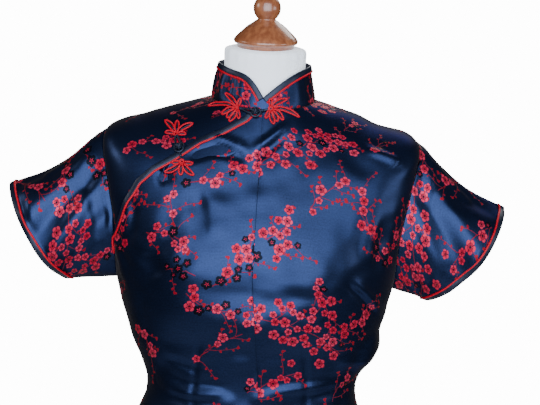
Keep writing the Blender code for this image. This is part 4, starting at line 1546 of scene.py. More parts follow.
@dataclass
class Dress:
    """The cloth pieces of the dress and their trimmings."""

    body: Body
    brocade: Brocade
    flora: Flora
    satin: bpy.types.Material
    binding: bpy.types.Material
    piping: bpy.types.Material
    column_count: int = 70
    bodice_start: float = 0.945
    skirt_step: float = 0.0060
    bodice_step: float = 0.0034
    yoke_rows: int = 76
    hidden_share: float = 0.20
    pucker: float = 0.00035
    pucker_rate: float = 560
    pucker_width: float = 0.008
    pieces: dict[str, bpy.types.Object] = field(default_factory=dict)
    sheets: dict[str, Sheet] = field(default_factory=dict)
    trims: dict[str, list[bpy.types.Object]] = field(default_factory=dict)
    cuts: dict[str, tuple[Pair, float]] = field(default_factory=dict)

    def lower_rows(self) -> Array:
        """Rows from the hem to just under the arm.

        Returns:
            Rows of the section table.
        """
        hem, underarm = self.body.sections[0].side_z, self.body.sections[UNDERARM_ROW].side_z
        skirt = np.arange(hem, self.bodice_start, self.skirt_step)
        bodice = np.arange(self.bodice_start, underarm - 0.001, self.bodice_step)
        return self.body.rows_at(np.concatenate([skirt, bodice]))

    def every_row(self) -> Array:
        """Rows from the hem to the neck.

        Returns:
            Rows of the section table.
        """
        return np.concatenate([self.lower_rows(), np.linspace(UNDERARM_ROW, NECK_ROW, self.yoke_rows)])

    def heights_up(self, points: Array, first_row: int) -> Array:
        """Lengths up the cloth from the row at the underarm.

        Args:
            points: The grid's points.
            first_row: The row that has a length of nothing.
        Returns:
            A length for each point.
        """
        steps = np.linalg.norm(np.diff(points, axis=0), axis=2)
        lengths = np.concatenate([np.zeros((1, points.shape[1])), np.cumsum(steps, axis=0)])
        return lengths - lengths[first_row]

    def heights_at(self, rows: Array, shares: Array, side: Side) -> Array:
        """Lengths up a front's columns from the row at the underarm, for rows above it.

        Args:
            rows: The grid's rows, a line for each step up the columns.
            shares: The columns' shares of the way to the side.
            side: Which front.
        Returns:
            A length for each place of the grid.
        """
        fine = np.linspace(UNDERARM_ROW, NECK_ROW, 101)
        grid_rows, grid_shares = np.meshgrid(fine, shares, indexing="ij")
        lengths = self.heights_up(self.front_points(grid_rows, grid_shares, side)[0], 0)
        columns = [np.interp(rows[:, column], fine, lengths[:, column]) for column in range(len(shares))]
        return np.stack(columns, axis=1)

    def centre(self, rows: Array, side: Side) -> Array:
        """Where the centre front seam lies beside the middle.

        Args:
            rows: Rows of the section table.
            side: The front that the seam's edge belongs to.
        Returns:
            Distances, positive to the wearer's left.
        """
        heights = self.body.sections_at(rows)[..., 1]
        return np.interp(heights, CENTRE_SEAM[:, 0], CENTRE_SEAM[:, 1]) + side.value * SEAM_GAP / 2

    def front_points(self, rows: Array, shares: Array, side: Side) -> tuple[Array, Array]:
        """Points of a front at shares of the way from the centre seam to the side.

        Args:
            rows: Rows of the section table.
            shares: Shares in the same shape.
            side: Which front.
        Returns:
            The points, and their distances from the middle.
        """
        start = self.centre(rows, side)
        end = side.value * self.body.reach(rows, Face.FRONT)
        places = start + (end - start) * shares
        return self.body.points(rows, places, Face.FRONT), places

    def finished(self, name: str, sheet: Sheet, shift: Pair, flat: Pair) -> None:
        """Makes a cloth piece from its grid.

        Args:
            name: The piece's CAD node.
            sheet: The grid.
            shift: Where the brocade's repeat starts on it.
            flat: The cut's width and length.
        """
        made = Maker.grid(f"cloth_{name}", sheet.points, sheet.flat, merge=True)
        self.brocade.chart(made.data, self.flora, shift)
        wall = made.modifiers.new("wall", "SOLIDIFY")
        wall.thickness = WALL
        wall.offset = -1.0
        settled(made, [name], [self.satin])
        self.pieces[name] = made
        self.sheets[name] = sheet
        self.trims[name] = []
        area = min(sheet.area(), flat[0] * flat[1])
        log.info("%s: %.4f m2 of cloth, cut %.3f by %.3f m", name, area, *flat)
        self.cuts[name] = (flat, area)

    def add_front_left(self) -> None:
        """The wearer's left front, from the hem to the neck."""
        rows = self.every_row()
        grid_rows, shares = np.meshgrid(rows, seam_refined(self.column_count), indexing="ij")
        points, places = self.front_points(grid_rows, shares, Side.LEFT)
        points = self.body.raised(points, self.front_relief(points, grid_rows, places, Side.LEFT))
        first = int(np.searchsorted(rows, UNDERARM_ROW))
        flat = np.stack([places, self.heights_up(points, first)], axis=-1)
        self.finished("front_left", Sheet(points, flat), (0.0, 0.004), (0.285, 1.010))

    def front_relief(self, points: Array, rows: Array, places: Array, side: Side) -> Array:
        """How far the fronts' folds move out, and their seams in.

        Args:
            points: The grid's points.
            rows: The grid's rows.
            places: Distances from the middle.
            side: Which front.
        Returns:
            Distances outwards.
        """
        relief = self.body.folds(points) + self.body.lift(points) + self.body.creases(points, Face.FRONT)
        relief += self.body.crumple(points)
        seam = seam_dip(np.abs(places - self.centre(rows, side)), depth=0.0005)
        beside = self.body.reach(rows, Face.FRONT) - np.abs(places)
        heights = self.body.sections_at(rows)[..., 0]
        pucker = self.pucker * np.sin(heights * self.pucker_rate)
        armhole = seam_dip(beside) + pucker * np.exp(-((beside / self.pucker_width) ** 2))
        return relief - (seam + armhole * (heights >= self.body.slit_top))

    def overlap_rows(self, shares: Array) -> Array:
        """The rows at which columns of the right front meet the overlap's edge.

        Args:
            shares: The columns' shares of the way to the side.
        Returns:
            One row for each column.
        """
        low, high = np.full(len(shares), float(UNDERARM_ROW)), np.full(len(shares), float(NECK_ROW))
        for _ in range(30):
            middle = (low + high) / 2
            points, _ = self.front_points(middle, shares, Side.RIGHT)
            is_below = points[:, 2] < np.interp(-points[:, 0], OVERLAP_EDGE[:, 0], OVERLAP_EDGE[:, 1])
            low, high = np.where(is_below, middle, low), np.where(is_below, high, middle)
        return low

    def add_front_right(self) -> None:
        """The wearer's right front, which ends on the slanting overlap."""
        shares = seam_refined(self.column_count)
        lower = self.lower_rows()
        tops = self.overlap_rows(shares)
        climb = np.linspace(0, 1, 58)
        upper = UNDERARM_ROW + (tops - UNDERARM_ROW) * climb[:, None]
        rows = np.concatenate([np.broadcast_to(lower[:, None], (len(lower), len(shares))), upper])
        points, places = self.front_points(rows, np.broadcast_to(shares, rows.shape), Side.RIGHT)
        points = self.body.raised(points, self.front_relief(points, rows, places, Side.RIGHT))
        flat = np.stack([places, self.heights_up(points, len(lower))], axis=-1)
        points, flat = points[:, ::-1], flat[:, ::-1]
        self.finished("front_right", Sheet(points, flat), (0.0, -0.004), (0.275, 0.960))

    def add_under_front(self) -> None:
        """The right shoulder piece, whose lower edge goes on beneath the overlap."""
        shares = seam_refined(self.column_count)[1:]
        tops = self.overlap_rows(shares)
        hidden = tops - (tops - UNDERARM_ROW) * self.hidden_share
        side_top = tops[-1]
        tip = (TIP_ROW - side_top) / (NECK_ROW - side_top)
        climb = np.concatenate([np.linspace(0, tip, 24)[1:], np.linspace(tip, 1, 30)[1:]])
        under = hidden + (tops - hidden) * np.linspace(0, 1, 10)[:, None]
        rows = np.concatenate([under, tops + (NECK_ROW - tops) * climb[:, None]])
        points, places = self.front_points(rows, np.broadcast_to(shares, rows.shape), Side.RIGHT)
        relief = self.body.folds(points) + self.body.crumple(points)
        relief -= seam_dip(self.body.reach(rows, Face.FRONT) - np.abs(places))
        points = self.body.raised(points, relief)
        flat = np.stack([places, self.heights_at(rows, shares, Side.RIGHT)], axis=-1)
        points, flat = points[:, ::-1], flat[:, ::-1]
        self.finished("under_front", Sheet(points, flat), (0.060, 0.010), (0.240, 0.260))

    def add_back(self) -> None:
        """The back, in one piece."""
        rows = self.every_row()
        shares = -seam_refined(2 * self.column_count - 20, both=True)
        grid_rows, grid_shares = np.meshgrid(rows, shares, indexing="ij")
        reach = self.body.reach(rows, Face.BACK)[:, None]
        places = reach * grid_shares
        points = self.body.points(grid_rows, places, Face.BACK)
        is_closed = self.body.sections_at(grid_rows)[..., 0] >= self.body.slit_top
        relief = self.body.folds(points) + self.body.creases(points, Face.BACK) + self.body.crumple(points)
        relief -= seam_dip(reach - np.abs(places)) * is_closed
        points = self.body.raised(points, relief)
        first = int(np.searchsorted(rows, UNDERARM_ROW))
        flat = np.stack([-places, self.heights_up(points, first)], axis=-1)
        self.finished("back", Sheet(points, flat), (0.09, 0.03), (0.560, 1.010))


@dataclass(frozen=True)
class Cuff:
    """The sleeve's hem, seen from the front, and its depth."""

    top_x: float
    top_z: float
    bottom_x: float
    bottom_z: float
    front: float
    back: float
    bulge: float


@dataclass(frozen=True)
class SleeveFold:
    """A fold along a sleeve, from the armhole (along 0) to the cuff (1), at turns round it."""

    along: float
    turn: float
    along_end: float
    turn_end: float
    width: float
    height: float


@dataclass
class Sleeves:
    """Both short sleeves."""

    dress: Dress
    seam: float = -0.0002
    allowance: float = 0.0025
    allowance_drop: float = 0.0005
    sag: float = 0.011
    crumple_share: float = 0.8
    round_length: float = 0.40
    columns: int = 150
    rows: int = 42
    overlap_end: float = 1.214
    overlap_fade: float = 0.015
    cuffs: dict[Side, Cuff] = field(
        default_factory=lambda: {
            Side.LEFT: Cuff(0.311, 1.2340, 0.219, 1.1110, -0.050, 0.064, 0.014),
            Side.RIGHT: Cuff(0.316, 1.2380, 0.241, 1.1190, -0.050, 0.064, 0.006),
        }
    )
    folds: dict[Side, tuple[SleeveFold, ...]] = field(
        default_factory=lambda: {
            Side.LEFT: (
                SleeveFold(0.00, 0.06, 0.95, 0.19, 0.050, 0.0055),
                SleeveFold(0.25, 0.11, 1.00, 0.03, 0.045, -0.0040),
                SleeveFold(0.10, 0.94, 0.90, 0.86, 0.050, 0.0050),
                SleeveFold(0.00, 0.10, 0.92, 0.24, 0.030, 0.0034),
                SleeveFold(0.08, 0.14, 0.98, 0.30, 0.030, -0.0030),
                SleeveFold(0.04, 0.21, 0.75, 0.35, 0.020, 0.0024),
                SleeveFold(0.10, 0.38, 0.70, 0.44, 0.022, -0.0022),
                SleeveFold(0.05, 0.02, 0.60, 0.07, 0.016, 0.0018),
                SleeveFold(0.02, 0.72, 0.80, 0.64, 0.024, 0.0026),
                SleeveFold(0.06, 0.80, 0.85, 0.76, 0.022, -0.0022),
            ),
            Side.RIGHT: (
                SleeveFold(0.00, 0.05, 0.85, 0.15, 0.050, 0.0060),
                SleeveFold(0.30, 0.24, 1.00, 0.31, 0.055, 0.0040),
                SleeveFold(0.10, 0.94, 0.90, 0.88, 0.050, 0.0050),
                SleeveFold(0.00, 0.07, 0.96, 0.20, 0.030, 0.0036),
                SleeveFold(0.04, 0.12, 0.92, 0.26, 0.030, -0.0030),
                SleeveFold(0.05, 0.17, 0.85, 0.32, 0.020, 0.0026),
                SleeveFold(0.10, 0.28, 0.90, 0.41, 0.026, -0.0024),
                SleeveFold(0.02, 0.02, 0.60, 0.05, 0.016, 0.0016),
                SleeveFold(0.02, 0.72, 0.80, 0.66, 0.024, 0.0026),
                SleeveFold(0.06, 0.82, 0.85, 0.78, 0.022, -0.0022),
            ),
        }
    )

    def armhole(self, turns: Array, side: Side) -> Array:
        """The armhole's edge, from the shoulder tip round the front, underarm and back.

        Args:
            turns: Places round it from 0 to 1.
            side: Which armhole.
        Returns:
            The points.
        """
        body = self.dress.body
        turns = turns % 1.0
        rows = TIP_ROW + (UNDERARM_ROW - TIP_ROW) * (1 - np.abs(1 - 2 * turns))
        front = body.ring_points(rows, side.value * body.edge_angle(rows, Face.FRONT), Face.FRONT)
        back = body.ring_points(rows, side.value * body.edge_angle(rows, Face.BACK), Face.BACK)
        loop = np.where((turns <= 0.5)[:, None], front, back)
        if side is Side.RIGHT:
            relief = body.lift(loop) * smooth_step((self.overlap_end - loop[:, 2]) / self.overlap_fade)
            loop = body.raised(loop, relief)
        return loop

    def cuff_loop(self, turns: Array, side: Side) -> Array:
        """The sleeve's hem, from its top round the front, bottom and back.

        Args:
            turns: Places round it from 0 to 1.
            side: Which sleeve.
        Returns:
            The points.
        """
        cuff = self.cuffs[side]
        top = np.array((side.value * cuff.top_x, BODY_MIDDLE[1], cuff.top_z))
        bottom = np.array((side.value * cuff.bottom_x, BODY_MIDDLE[1], cuff.bottom_z))
        centre, half = (top + bottom) / 2, (top - bottom) / 2
        out = unit(np.array((side.value * half[2], 0.0, -abs(half[0]))))
        angle = 2 * math.pi * turns
        across = np.sin(angle)
        depth = np.where(across > 0, -cuff.front, cuff.back) * np.abs(across) ** 1.2
        loop = centre + half * np.cos(angle)[:, None]
        loop[:, 1] -= np.sign(across) * depth
        return loop + out * (cuff.bulge * across**2)[:, None]

    def relief(self, along: Array, turns: Array, side: Side) -> Array:
        """How far the sleeve's folds move it out.

        Args:
            along: Shares of the way to the cuff.
            turns: Places round the sleeve.
            side: Which sleeve.
        Returns:
            Distances outwards.
        """
        places = np.stack([along, turns % 1.0], axis=-1)
        moved = np.zeros(along.shape)
        for fold in self.folds[side]:
            near = line_distance(places, (fold.along, fold.turn), (fold.along_end, fold.turn_end))
            fade = smooth_step(along / 0.25) if fold.along < 0.08 else 1.0
            moved += fade * fold.height * soft_bump(near, fold.width * 2)
        topness = np.maximum(0.0, np.cos(2 * math.pi * turns)) ** 2
        return moved - self.sag * topness * np.sin(math.pi * np.clip(along, 0, 1)) ** 1.3

    def add(self, side: Side) -> None:
        """Makes one sleeve.

        Args:
            side: Which sleeve.
        """
        turns = np.linspace(0.5, 1.5, self.columns + 1)
        inner, outer = self.armhole(turns, side), self.cuff_loop(turns, side)
        middle = self.armhole(np.linspace(0, 1, 19)[:-1], side).mean(axis=0)
        away = np.array((side.value, 0.0, -0.35))
        inner = inner + away * self.seam
        radial = unit((inner - middle) * np.array((0.0, 1.0, 1.0)))
        along = np.concatenate([[0.0, 0.012], np.linspace(0.03, 1.0, self.rows)])
        grid_along, grid_turns = np.meshgrid(along, turns, indexing="ij")
        moved = self.relief(grid_along, grid_turns, side)
        straight = inner + (outer - inner) * along[:, None, None]
        fade = smooth_step(grid_along / 0.1) * smooth_step((1 - grid_along) / 0.12)
        moved += self.dress.body.crumple(straight) * self.crumple_share * fade
        lengths = np.linalg.norm(outer - inner, axis=1)
        moved -= seam_dip(grid_along * lengths, depth=0.0005)
        points = straight + radial * moved[..., None]
        flat = np.stack([(grid_turns - 1.0) * self.round_length, -grid_along * lengths], axis=-1)
        turned_in = points[0] - radial * self.allowance_drop
        tucked = turned_in - away * self.allowance
        points = np.concatenate([tucked[None], turned_in[None], points])
        drops = np.array(((self.allowance_drop + self.allowance,), (self.allowance_drop,)))
        flat = np.concatenate([flat[:1] + np.stack([drops * 0, drops], axis=-1), flat])
        if side is Side.RIGHT:
            points, flat = points[:, ::-1], flat[:, ::-1]
        name = "sleeve_left" if side is Side.LEFT else "sleeve_right"
        shift = (-0.060, -0.030) if side is Side.LEFT else (-0.080, 0.020)
        self.dress.finished(name, Sheet(points, flat), shift, (0.420, 0.150))


@dataclass
class Collar:
    """The standing band collar, with its rounded front ends."""

    dress: Dress
    height: float = 0.043
    front_height: float = 0.015
    round_left: float = 0.075
    round_right: float = 0.040
    taper: float = 0.0085
    allowance: float = 0.003
    columns: int = 180
    rows: int = 15
    fine: int = 721
    # Soft upright buckles: distance round from the left front end as a share, width, height
    buckles: tuple[tuple[float, float, float], ...] = (
        (0.76, 0.012, 0.0018),
        (0.80, 0.008, -0.0018),
        (0.84, 0.009, 0.0020),
        (0.88, 0.008, -0.0016),
        (0.92, 0.007, 0.0010),
        (0.12, 0.012, 0.0010),
        (0.18, 0.010, -0.0009),
        (0.42, 0.016, 0.0010),
        (0.55, 0.014, -0.0009),
    )

    def add(self) -> None:
        """Makes the collar."""
        body = self.dress.body
        front_angle = np.linspace(0, 2 * math.pi, self.fine)
        rows = np.full(self.fine, float(NECK_ROW))
        loop = np.where(
            (np.cos(front_angle) >= 0)[:, None],
            body.ring_points(rows, front_angle, Face.FRONT),
            body.ring_points(rows, front_angle, Face.BACK),
        )
        lengths = path_lengths(loop)
        total = lengths[-1]
        even = np.linspace(0, 1, self.columns)
        places = total * (even + 0.5 - 0.5 * np.cos(math.pi * even)) / 2
        base = np.stack([np.interp(places, lengths, loop[:, axis]) for axis in range(3)], axis=1)
        base = body.raised(base, body.lift(base) * smooth_step((base[:, 0] + 0.034) / 0.024))
        drop_left = np.maximum(0.0, 1 - places / self.round_left) ** 2.4
        drop_right = np.maximum(0.0, 1 - (total - places) / self.round_right) ** 2.4
        tops = self.height - (self.height - self.front_height) * np.maximum(drop_left, drop_right)
        centre = np.array((0.0, body.sections[NECK_ROW].mid, 0.0))
        radial = unit((base - centre) * np.array((1.0, 1.0, 0.0)))
        slant = np.array((0.0, 0.0, 1.0)) - radial * self.taper / self.height
        risen = tops * np.linspace(0, 1, self.rows)[:, None]
        relief = -seam_dip(risen, 0.002, 0.0008)
        for share, width, height in self.buckles:
            bump = soft_bump(np.abs(places - share * total), width)
            relief += height * bump * np.sin(math.pi * risen / self.height)
        foot = base - np.array((0.0, 0.0, 0.0003))
        points = foot + slant * risen[..., None] + radial * relief[..., None]
        flat = np.stack(np.broadcast_arrays(places[None, :], risen), axis=-1)
        below = np.array((0.0, 0.0, self.allowance))
        points = np.concatenate([points[:1] - below - radial * 0.0004, points])
        flat = np.concatenate([flat[:1] - (0.0, self.allowance), flat])
        self.dress.finished("collar", Sheet(points, flat), (0.11, 0.10), (0.405, 0.045))


@dataclass
class Trimming:
    """The satin binding that wraps an edge, and the red piping along its inner line."""

    dress: Dress
    reach: float = 0.0010
    above: float = 0.0013
    below: float = 0.0017
    piping_radius: float = 0.00125
    piping_inward: float = 0.35
    piping_lift: float = 0.55
    corner_columns: int = 3
    inward_step: int = 4

    def profile(self) -> Array:
        """The binding's section, as (into the cloth, outwards).

        Returns:
            A closed ring of points.
        """
        angles = np.linspace(0, 2 * math.pi, 17)[:-1]
        middle = (BINDING_WIDTH - self.reach) / 2
        half = (BINDING_WIDTH + self.reach) / 2
        across = middle + half * np.sign(np.cos(angles)) * np.abs(np.cos(angles)) ** 0.6
        up = np.abs(np.sin(angles)) ** 0.8 * np.where(np.sin(angles) > 0, self.above, -self.below)
        return np.stack([across, up], axis=1)

    def add(self, name: str, cloth: str, edge: Array, normals: Array, inward: Array) -> Array:
        """Makes the binding and piping of one edge.

        Args:
            name: What the trimming's CAD nodes start with.
            cloth: The cloth piece that it is sewn to.
            edge: Points along the edge.
            normals: The cloth's outward directions there.
            inward: Directions into the cloth, along its surface.
        Returns:
            The outside of the binding as a grid of two rows.
        """
        ring = np.concatenate([self.profile(), self.profile()[:1]])
        points = edge[:, None] + inward[:, None] * ring[None, :, :1] + normals[:, None] * ring[None, :, 1:]
        lengths = path_lengths(edge)
        flat = np.stack(np.broadcast_arrays(lengths[:, None], np.linspace(0, 1, len(ring))[None, :]), axis=-1)
        band = Maker.grid(f"binding_{name}", points, flat, merge=True, cap=True)
        settled(band, [f"{name}_binding"], [self.dress.binding])
        route = edge + inward * (BINDING_WIDTH + self.piping_radius * self.piping_inward)
        route = route + normals * self.piping_radius * self.piping_lift
        cord = Maker.swept(f"piping_{name}", route, normals, self.piping_radius * circle(10))
        settled(cord, [f"{name}_piping"], [self.dress.piping])
        self.dress.trims[cloth] += [band, cord]
        return np.array([edge + normals * self.above, route + normals * self.piping_radius])

    def along_top(self, name: str, cloth: str, drawn_back: int = 0, down_to: float | None = None) -> Array:
        """Trims a cloth piece's last row.

        Args:
            name: What the trimming's CAD nodes start with.
            cloth: The cloth piece.
            drawn_back: How many columns at each end stay bare.
            down_to: The height to which it goes on down the first column, if it does.
        Returns:
            The outside of the binding as a grid of two rows.
        """
        sheet = self.dress.sheets[cloth]
        kept = slice(drawn_back, sheet.points.shape[1] - drawn_back)
        edge, normals = sheet.points[-1][kept], sheet.normals()[-1][kept]
        if down_to is not None:
            side = sheet.points[:, 1]
            rows = np.flatnonzero((side[:, 2] > down_to) & (side[:, 2] < edge[0, 2] - 0.004))[::2]
            edge = np.concatenate([side[rows], edge])
            normals = np.concatenate([sheet.normals()[rows, 1], normals])
            edge = smooth_route(edge, len(edge))
        normals = Frogs.softened(normals)
        inward = unit(np.cross(unit(np.gradient(edge, axis=0)), normals))
        below = (sheet.points[-2] - sheet.points[-1])[kept]
        if (below * inward[-len(below) :]).sum() < 0:
            inward = -inward
        return self.add(name, cloth, edge, normals, Frogs.softened(inward))

    def along_hem(self, name: str, cloths: Sequence[str], top: float) -> None:
        """Trims the slits and hem of the front or back.

        Args:
            name: What the trimming's CAD nodes start with.
            cloths: The cloth pieces that share the hem, in order of their columns.
            top: The height at which the slits end.
        """
        grids = [self.dress.sheets[cloth].points for cloth in cloths]
        count = min(len(grid) for grid in grids)
        grid = np.concatenate([grids[0][:count], *[other[:count, 1:] for other in grids[1:]]], axis=1)
        normals = Sheet(grid, grid[..., :2]).normals()
        slit = int(np.argmax(grid[:, 0, 2] > top - 0.002))
        rows = list(range(slit, self.corner_columns - 1, -1))
        last = grid.shape[1] - 1
        path = [(row, 0) for row in rows]
        path += [(0, column) for column in range(self.corner_columns, last - self.corner_columns + 1)]
        path += [(row, last) for row in reversed(rows)]
        inward = []
        for row, column in path:
            beside = self.inward_step if column == 0 else last - self.inward_step
            towards = grid[row, beside] if row else grid[self.inward_step, column]
            inward.append(towards - grid[row, column])
        places = tuple(np.array(path).T)
        corners = (grid[0, 0], grid[0, -1])
        edge, out, ways = grid[places], normals[places], unit(np.array(inward))
        edge, out, ways = self.mitred(corners, edge, out, ways, len(rows))
        self.add(name, cloths[0], edge, out, ways)

    @staticmethod
    def mitred(
        corners: tuple[Array, Array], edge: Array, out: Array, inward: Array, turn: int
    ) -> tuple[Array, Array, Array]:
        """Adds the two mitred corners between slit and hem.

        Args:
            corners: The hem's first and last point.
            edge: The edge without its corners.
            out: The outward directions.
            inward: The directions into the cloth.
            turn: How many points lie on each slit.
        Returns:
            The edge and both kinds of directions, with the corners.
        """
        for corner, index in ((corners[1], len(edge) - turn), (corners[0], turn)):
            middle = unit(inward[index - 1] + inward[index]) * math.sqrt(2)
            edge = np.insert(edge, index, corner, axis=0)
            out = np.insert(out, index, out[index], axis=0)
            inward = np.insert(inward, index, middle, axis=0)
        return edge, out, inward


@dataclass(frozen=True)
class Petal:
    """One cord loop of a frog's flower."""

    direction: float
    length: float
    half_width: float
    curl: float


@dataclass(frozen=True)
class Flower:
    """One half of a frog closure."""

    name: str
    x: float
    z: float
    turn: float
    mirrored: bool
    petals: tuple[Petal, ...]


@dataclass(frozen=True)
class Knot:
    """A ball button, with the flower that carries it and the one that loops round it."""

    name: str
    x: float
    z: float
    stem: str
    loop: str


COLLAR_PETALS = (
    Petal(98, 0.0115, 0.0007, 0.00),
    Petal(54, 0.0215, 0.0017, -0.35),
    Petal(14, 0.0335, 0.0015, -0.50),
    Petal(-18, 0.0200, 0.0017, -0.35),
    Petal(-48, 0.0175, 0.0019, -0.10),
    Petal(-78, 0.0185, 0.0018, 0.20),
    Petal(-108, 0.0130, 0.0008, 0.00),
)
CHEST_PETALS = (
    Petal(158, 0.0130, 0.0009, 0.30),
    Petal(116, 0.0200, 0.0019, 0.35),
    Petal(80, 0.0150, 0.0017, 0.10),
    Petal(46, 0.0230, 0.0019, -0.35),
    Petal(10, 0.0120, 0.0009, -0.20),
)


@dataclass
class Frogs:
    """The two frog closures: cord flowers, ball buttons and their loops."""

    cloths: Sequence[Array]
    cord: bpy.types.Material
    satin: bpy.types.Material
    hub: float = 0.0042
    hub_spread: float = 0.0006
    cord_half: float = 0.00108
    rouleau: float = 0.0014
    wound: float = 0.0013
    cord_height: float = 0.00095
    ball: float = 0.0042
    clearance: float = 0.0003
    flowers: tuple[Flower, ...] = (
        Flower("collar_frog_left", 0.0095, 1.3515, -6, False, COLLAR_PETALS),
        Flower("collar_frog_right", -0.0305, 1.3500, -8, True, COLLAR_PETALS),
        Flower("chest_frog_upper", -0.1045, 1.3145, 4, False, CHEST_PETALS),
        Flower("chest_frog_lower", -0.0945, 1.2840, 184, False, CHEST_PETALS),
    )
    knots: tuple[Knot, ...] = (
        Knot("collar_frog_ball", -0.0085, 1.3460, "collar_frog_left", "collar_frog_right"),
        Knot("chest_frog_ball", -0.0990, 1.3000, "chest_frog_lower", "chest_frog_upper"),
    )

    def __post_init__(self) -> None:
        """Builds the search tree of the cloth that the frogs lie on."""
        vertices: list[Vector] = []
        faces: list[tuple[int, int, int, int]] = []
        for grid in self.cloths:
            rows, columns = grid.shape[:2]
            first = len(vertices)
            vertices += [Vector(point) for point in grid.reshape(-1, 3)]
            for row in range(rows - 1):
                start = first + row * columns
                faces += [
                    (corner, corner + 1, corner + columns + 1, corner + columns)
                    for corner in range(start, start + columns - 1)
                ]
        self.tree = BVHTree.FromPolygons(vertices, faces)

    def laid(self, route: Array, clearance: float) -> tuple[Array, Array]:
        """Lays a flat route on the cloth.

        Args:
            route: (x, z) points, seen from the front.
            clearance: How far the cord's middle stays from the cloth.
        Returns:
            The points, and the cloth's outward directions.
        """
        points, normals = [], []
        for x, z in route:
            hit, normal, _, _ = self.tree.ray_cast(Vector((x, -1.0, z)), Vector((0.0, 1.0, 0.0)))
            if hit is None:
                near, _, _, _ = self.tree.find_nearest(Vector((x, -0.06, z)))
                hit, normal = Vector((x, near.y, z)), Vector((0.0, -1.0, 0.2)).normalized()
            if normal.y > 0:
                normal.negate()
            points.append(hit + normal * clearance)
            normals.append(normal)
        for _ in range(12):
            for point in points:
                near, _, _, distance = self.tree.find_nearest(point)
                if distance < clearance:
                    point.y -= clearance - distance
            points = [
                Vector((point.x, min(point.y, (before.y + after.y) / 2 * 0.5 + point.y * 0.5), point.z))
                for before, point, after in zip([points[0], *points[:-1]], points, [*points[1:], points[-1]])
            ]
        return np.array(points), self.softened(np.array(normals))

    @staticmethod
    def softened(normals: Array) -> Array:
        """Evens out directions along a route.

        Args:
            normals: The directions.
        Returns:
            Smoother unit vectors.
        """
        for _ in range(6):
            padded = np.concatenate([normals[:1], normals, normals[-1:]])
            normals = unit(padded[:-2] + 2 * padded[1:-1] + padded[2:])
        return normals

    def petal_route(self, petal: Petal) -> Array:
        """One petal's loop from the hub and back.

        Args:
            petal: The petal.
        Returns:
            (x, z) points about the hub's middle.
        """
        direction = math.radians(petal.direction)
        along = np.array((math.cos(direction), math.sin(direction)))
        across = np.array((-along[1], along[0]))
        turn = np.linspace(0, math.pi, 25)
        reach = self.hub * 0.55 + (petal.length - self.hub * 0.55) * np.sin(turn) ** 0.75
        share = (reach - self.hub * 0.55) / petal.length
        swell = self.hub_spread + (petal.half_width + 0.0009) * np.minimum(share * 1.6, 1.0) ** 0.6
        bend = petal.curl * petal.length * share**2
        return along * reach[:, None] + across * (np.cos(turn) * swell + bend)[:, None]

    def flower_route(self, flower: Flower) -> list[Array]:
        """A flower's petals in their places.

        Args:
            flower: The flower.
        Returns:
            One route for each petal, as (x, z) points.
        """
        turn = math.radians(flower.turn)
        spin = np.array(((math.cos(turn), -math.sin(turn)), (math.sin(turn), math.cos(turn))))
        routes = []
        for petal in flower.petals:
            route = self.petal_route(petal)
            if flower.mirrored:
                route = route * np.array((-1.0, 1.0))
            routes.append(route @ spin.T + np.array((flower.x, flower.z)))
        return routes

    def section(self) -> Array:
        """The red cord's section.

        Returns:
            Points of the section.
        """
        return circle(14) * np.array((self.cord_half, self.cord_height))

    def joined(self, name: str, objects: list[bpy.types.Object]) -> bpy.types.Object:
        """Joins pieces into one object.

        Args:
            name: The object's name.
            objects: The pieces, which are used up.
        Returns:
            The joined object.
        """
        mesh = bmesh.new()
        for piece in objects:
            mesh.from_mesh(piece.data)
            bpy.data.objects.remove(piece)
        return Maker.linked(name, mesh)

    def add_flower(self, flower: Flower, lead: list[bpy.types.Object]) -> None:
        """Makes one flower with the stem or loop that goes with it.

        Args:
            flower: The flower.
            lead: The stem's or loop's pieces.
        """
        section = self.section()
        made = list(lead)
        for index, route in enumerate(self.flower_route(flower)):
            points, normals = self.laid(route, self.cord_height + self.clearance)
            points[:, 1] -= 0.00035 * (index % 2)
            made.append(Maker.swept(f"petal_{index}", points, normals, section))
            middle = (route[1:12] + route[-2:-13:-1]) / 2
            points, normals = self.laid(middle, 0.0005)
            made.append(Maker.swept(f"filling_{index}", points, normals, section * 0.95, material=1))
        made.append(self.heart(flower))
        settled(self.joined(f"cord_{flower.name}", made), [flower.name], [self.cord, self.satin])

    def heart(self, flower: Flower) -> bpy.types.Object:
        """The small wound coil over a flower's hub.

        Args:
            flower: The flower.
        Returns:
            The coil.
        """
        turns = np.linspace(0, 2 * math.pi * 1.9, 40)
        radius = 0.0010 + 0.0019 * turns / turns[-1]
        route = np.stack([flower.x + radius * np.cos(turns), flower.z + radius * np.sin(turns)], axis=1)
        points, normals = self.laid(route, self.cord_height * 2.1 + self.clearance)
        return Maker.swept("heart", points, normals, self.section() * 0.8)

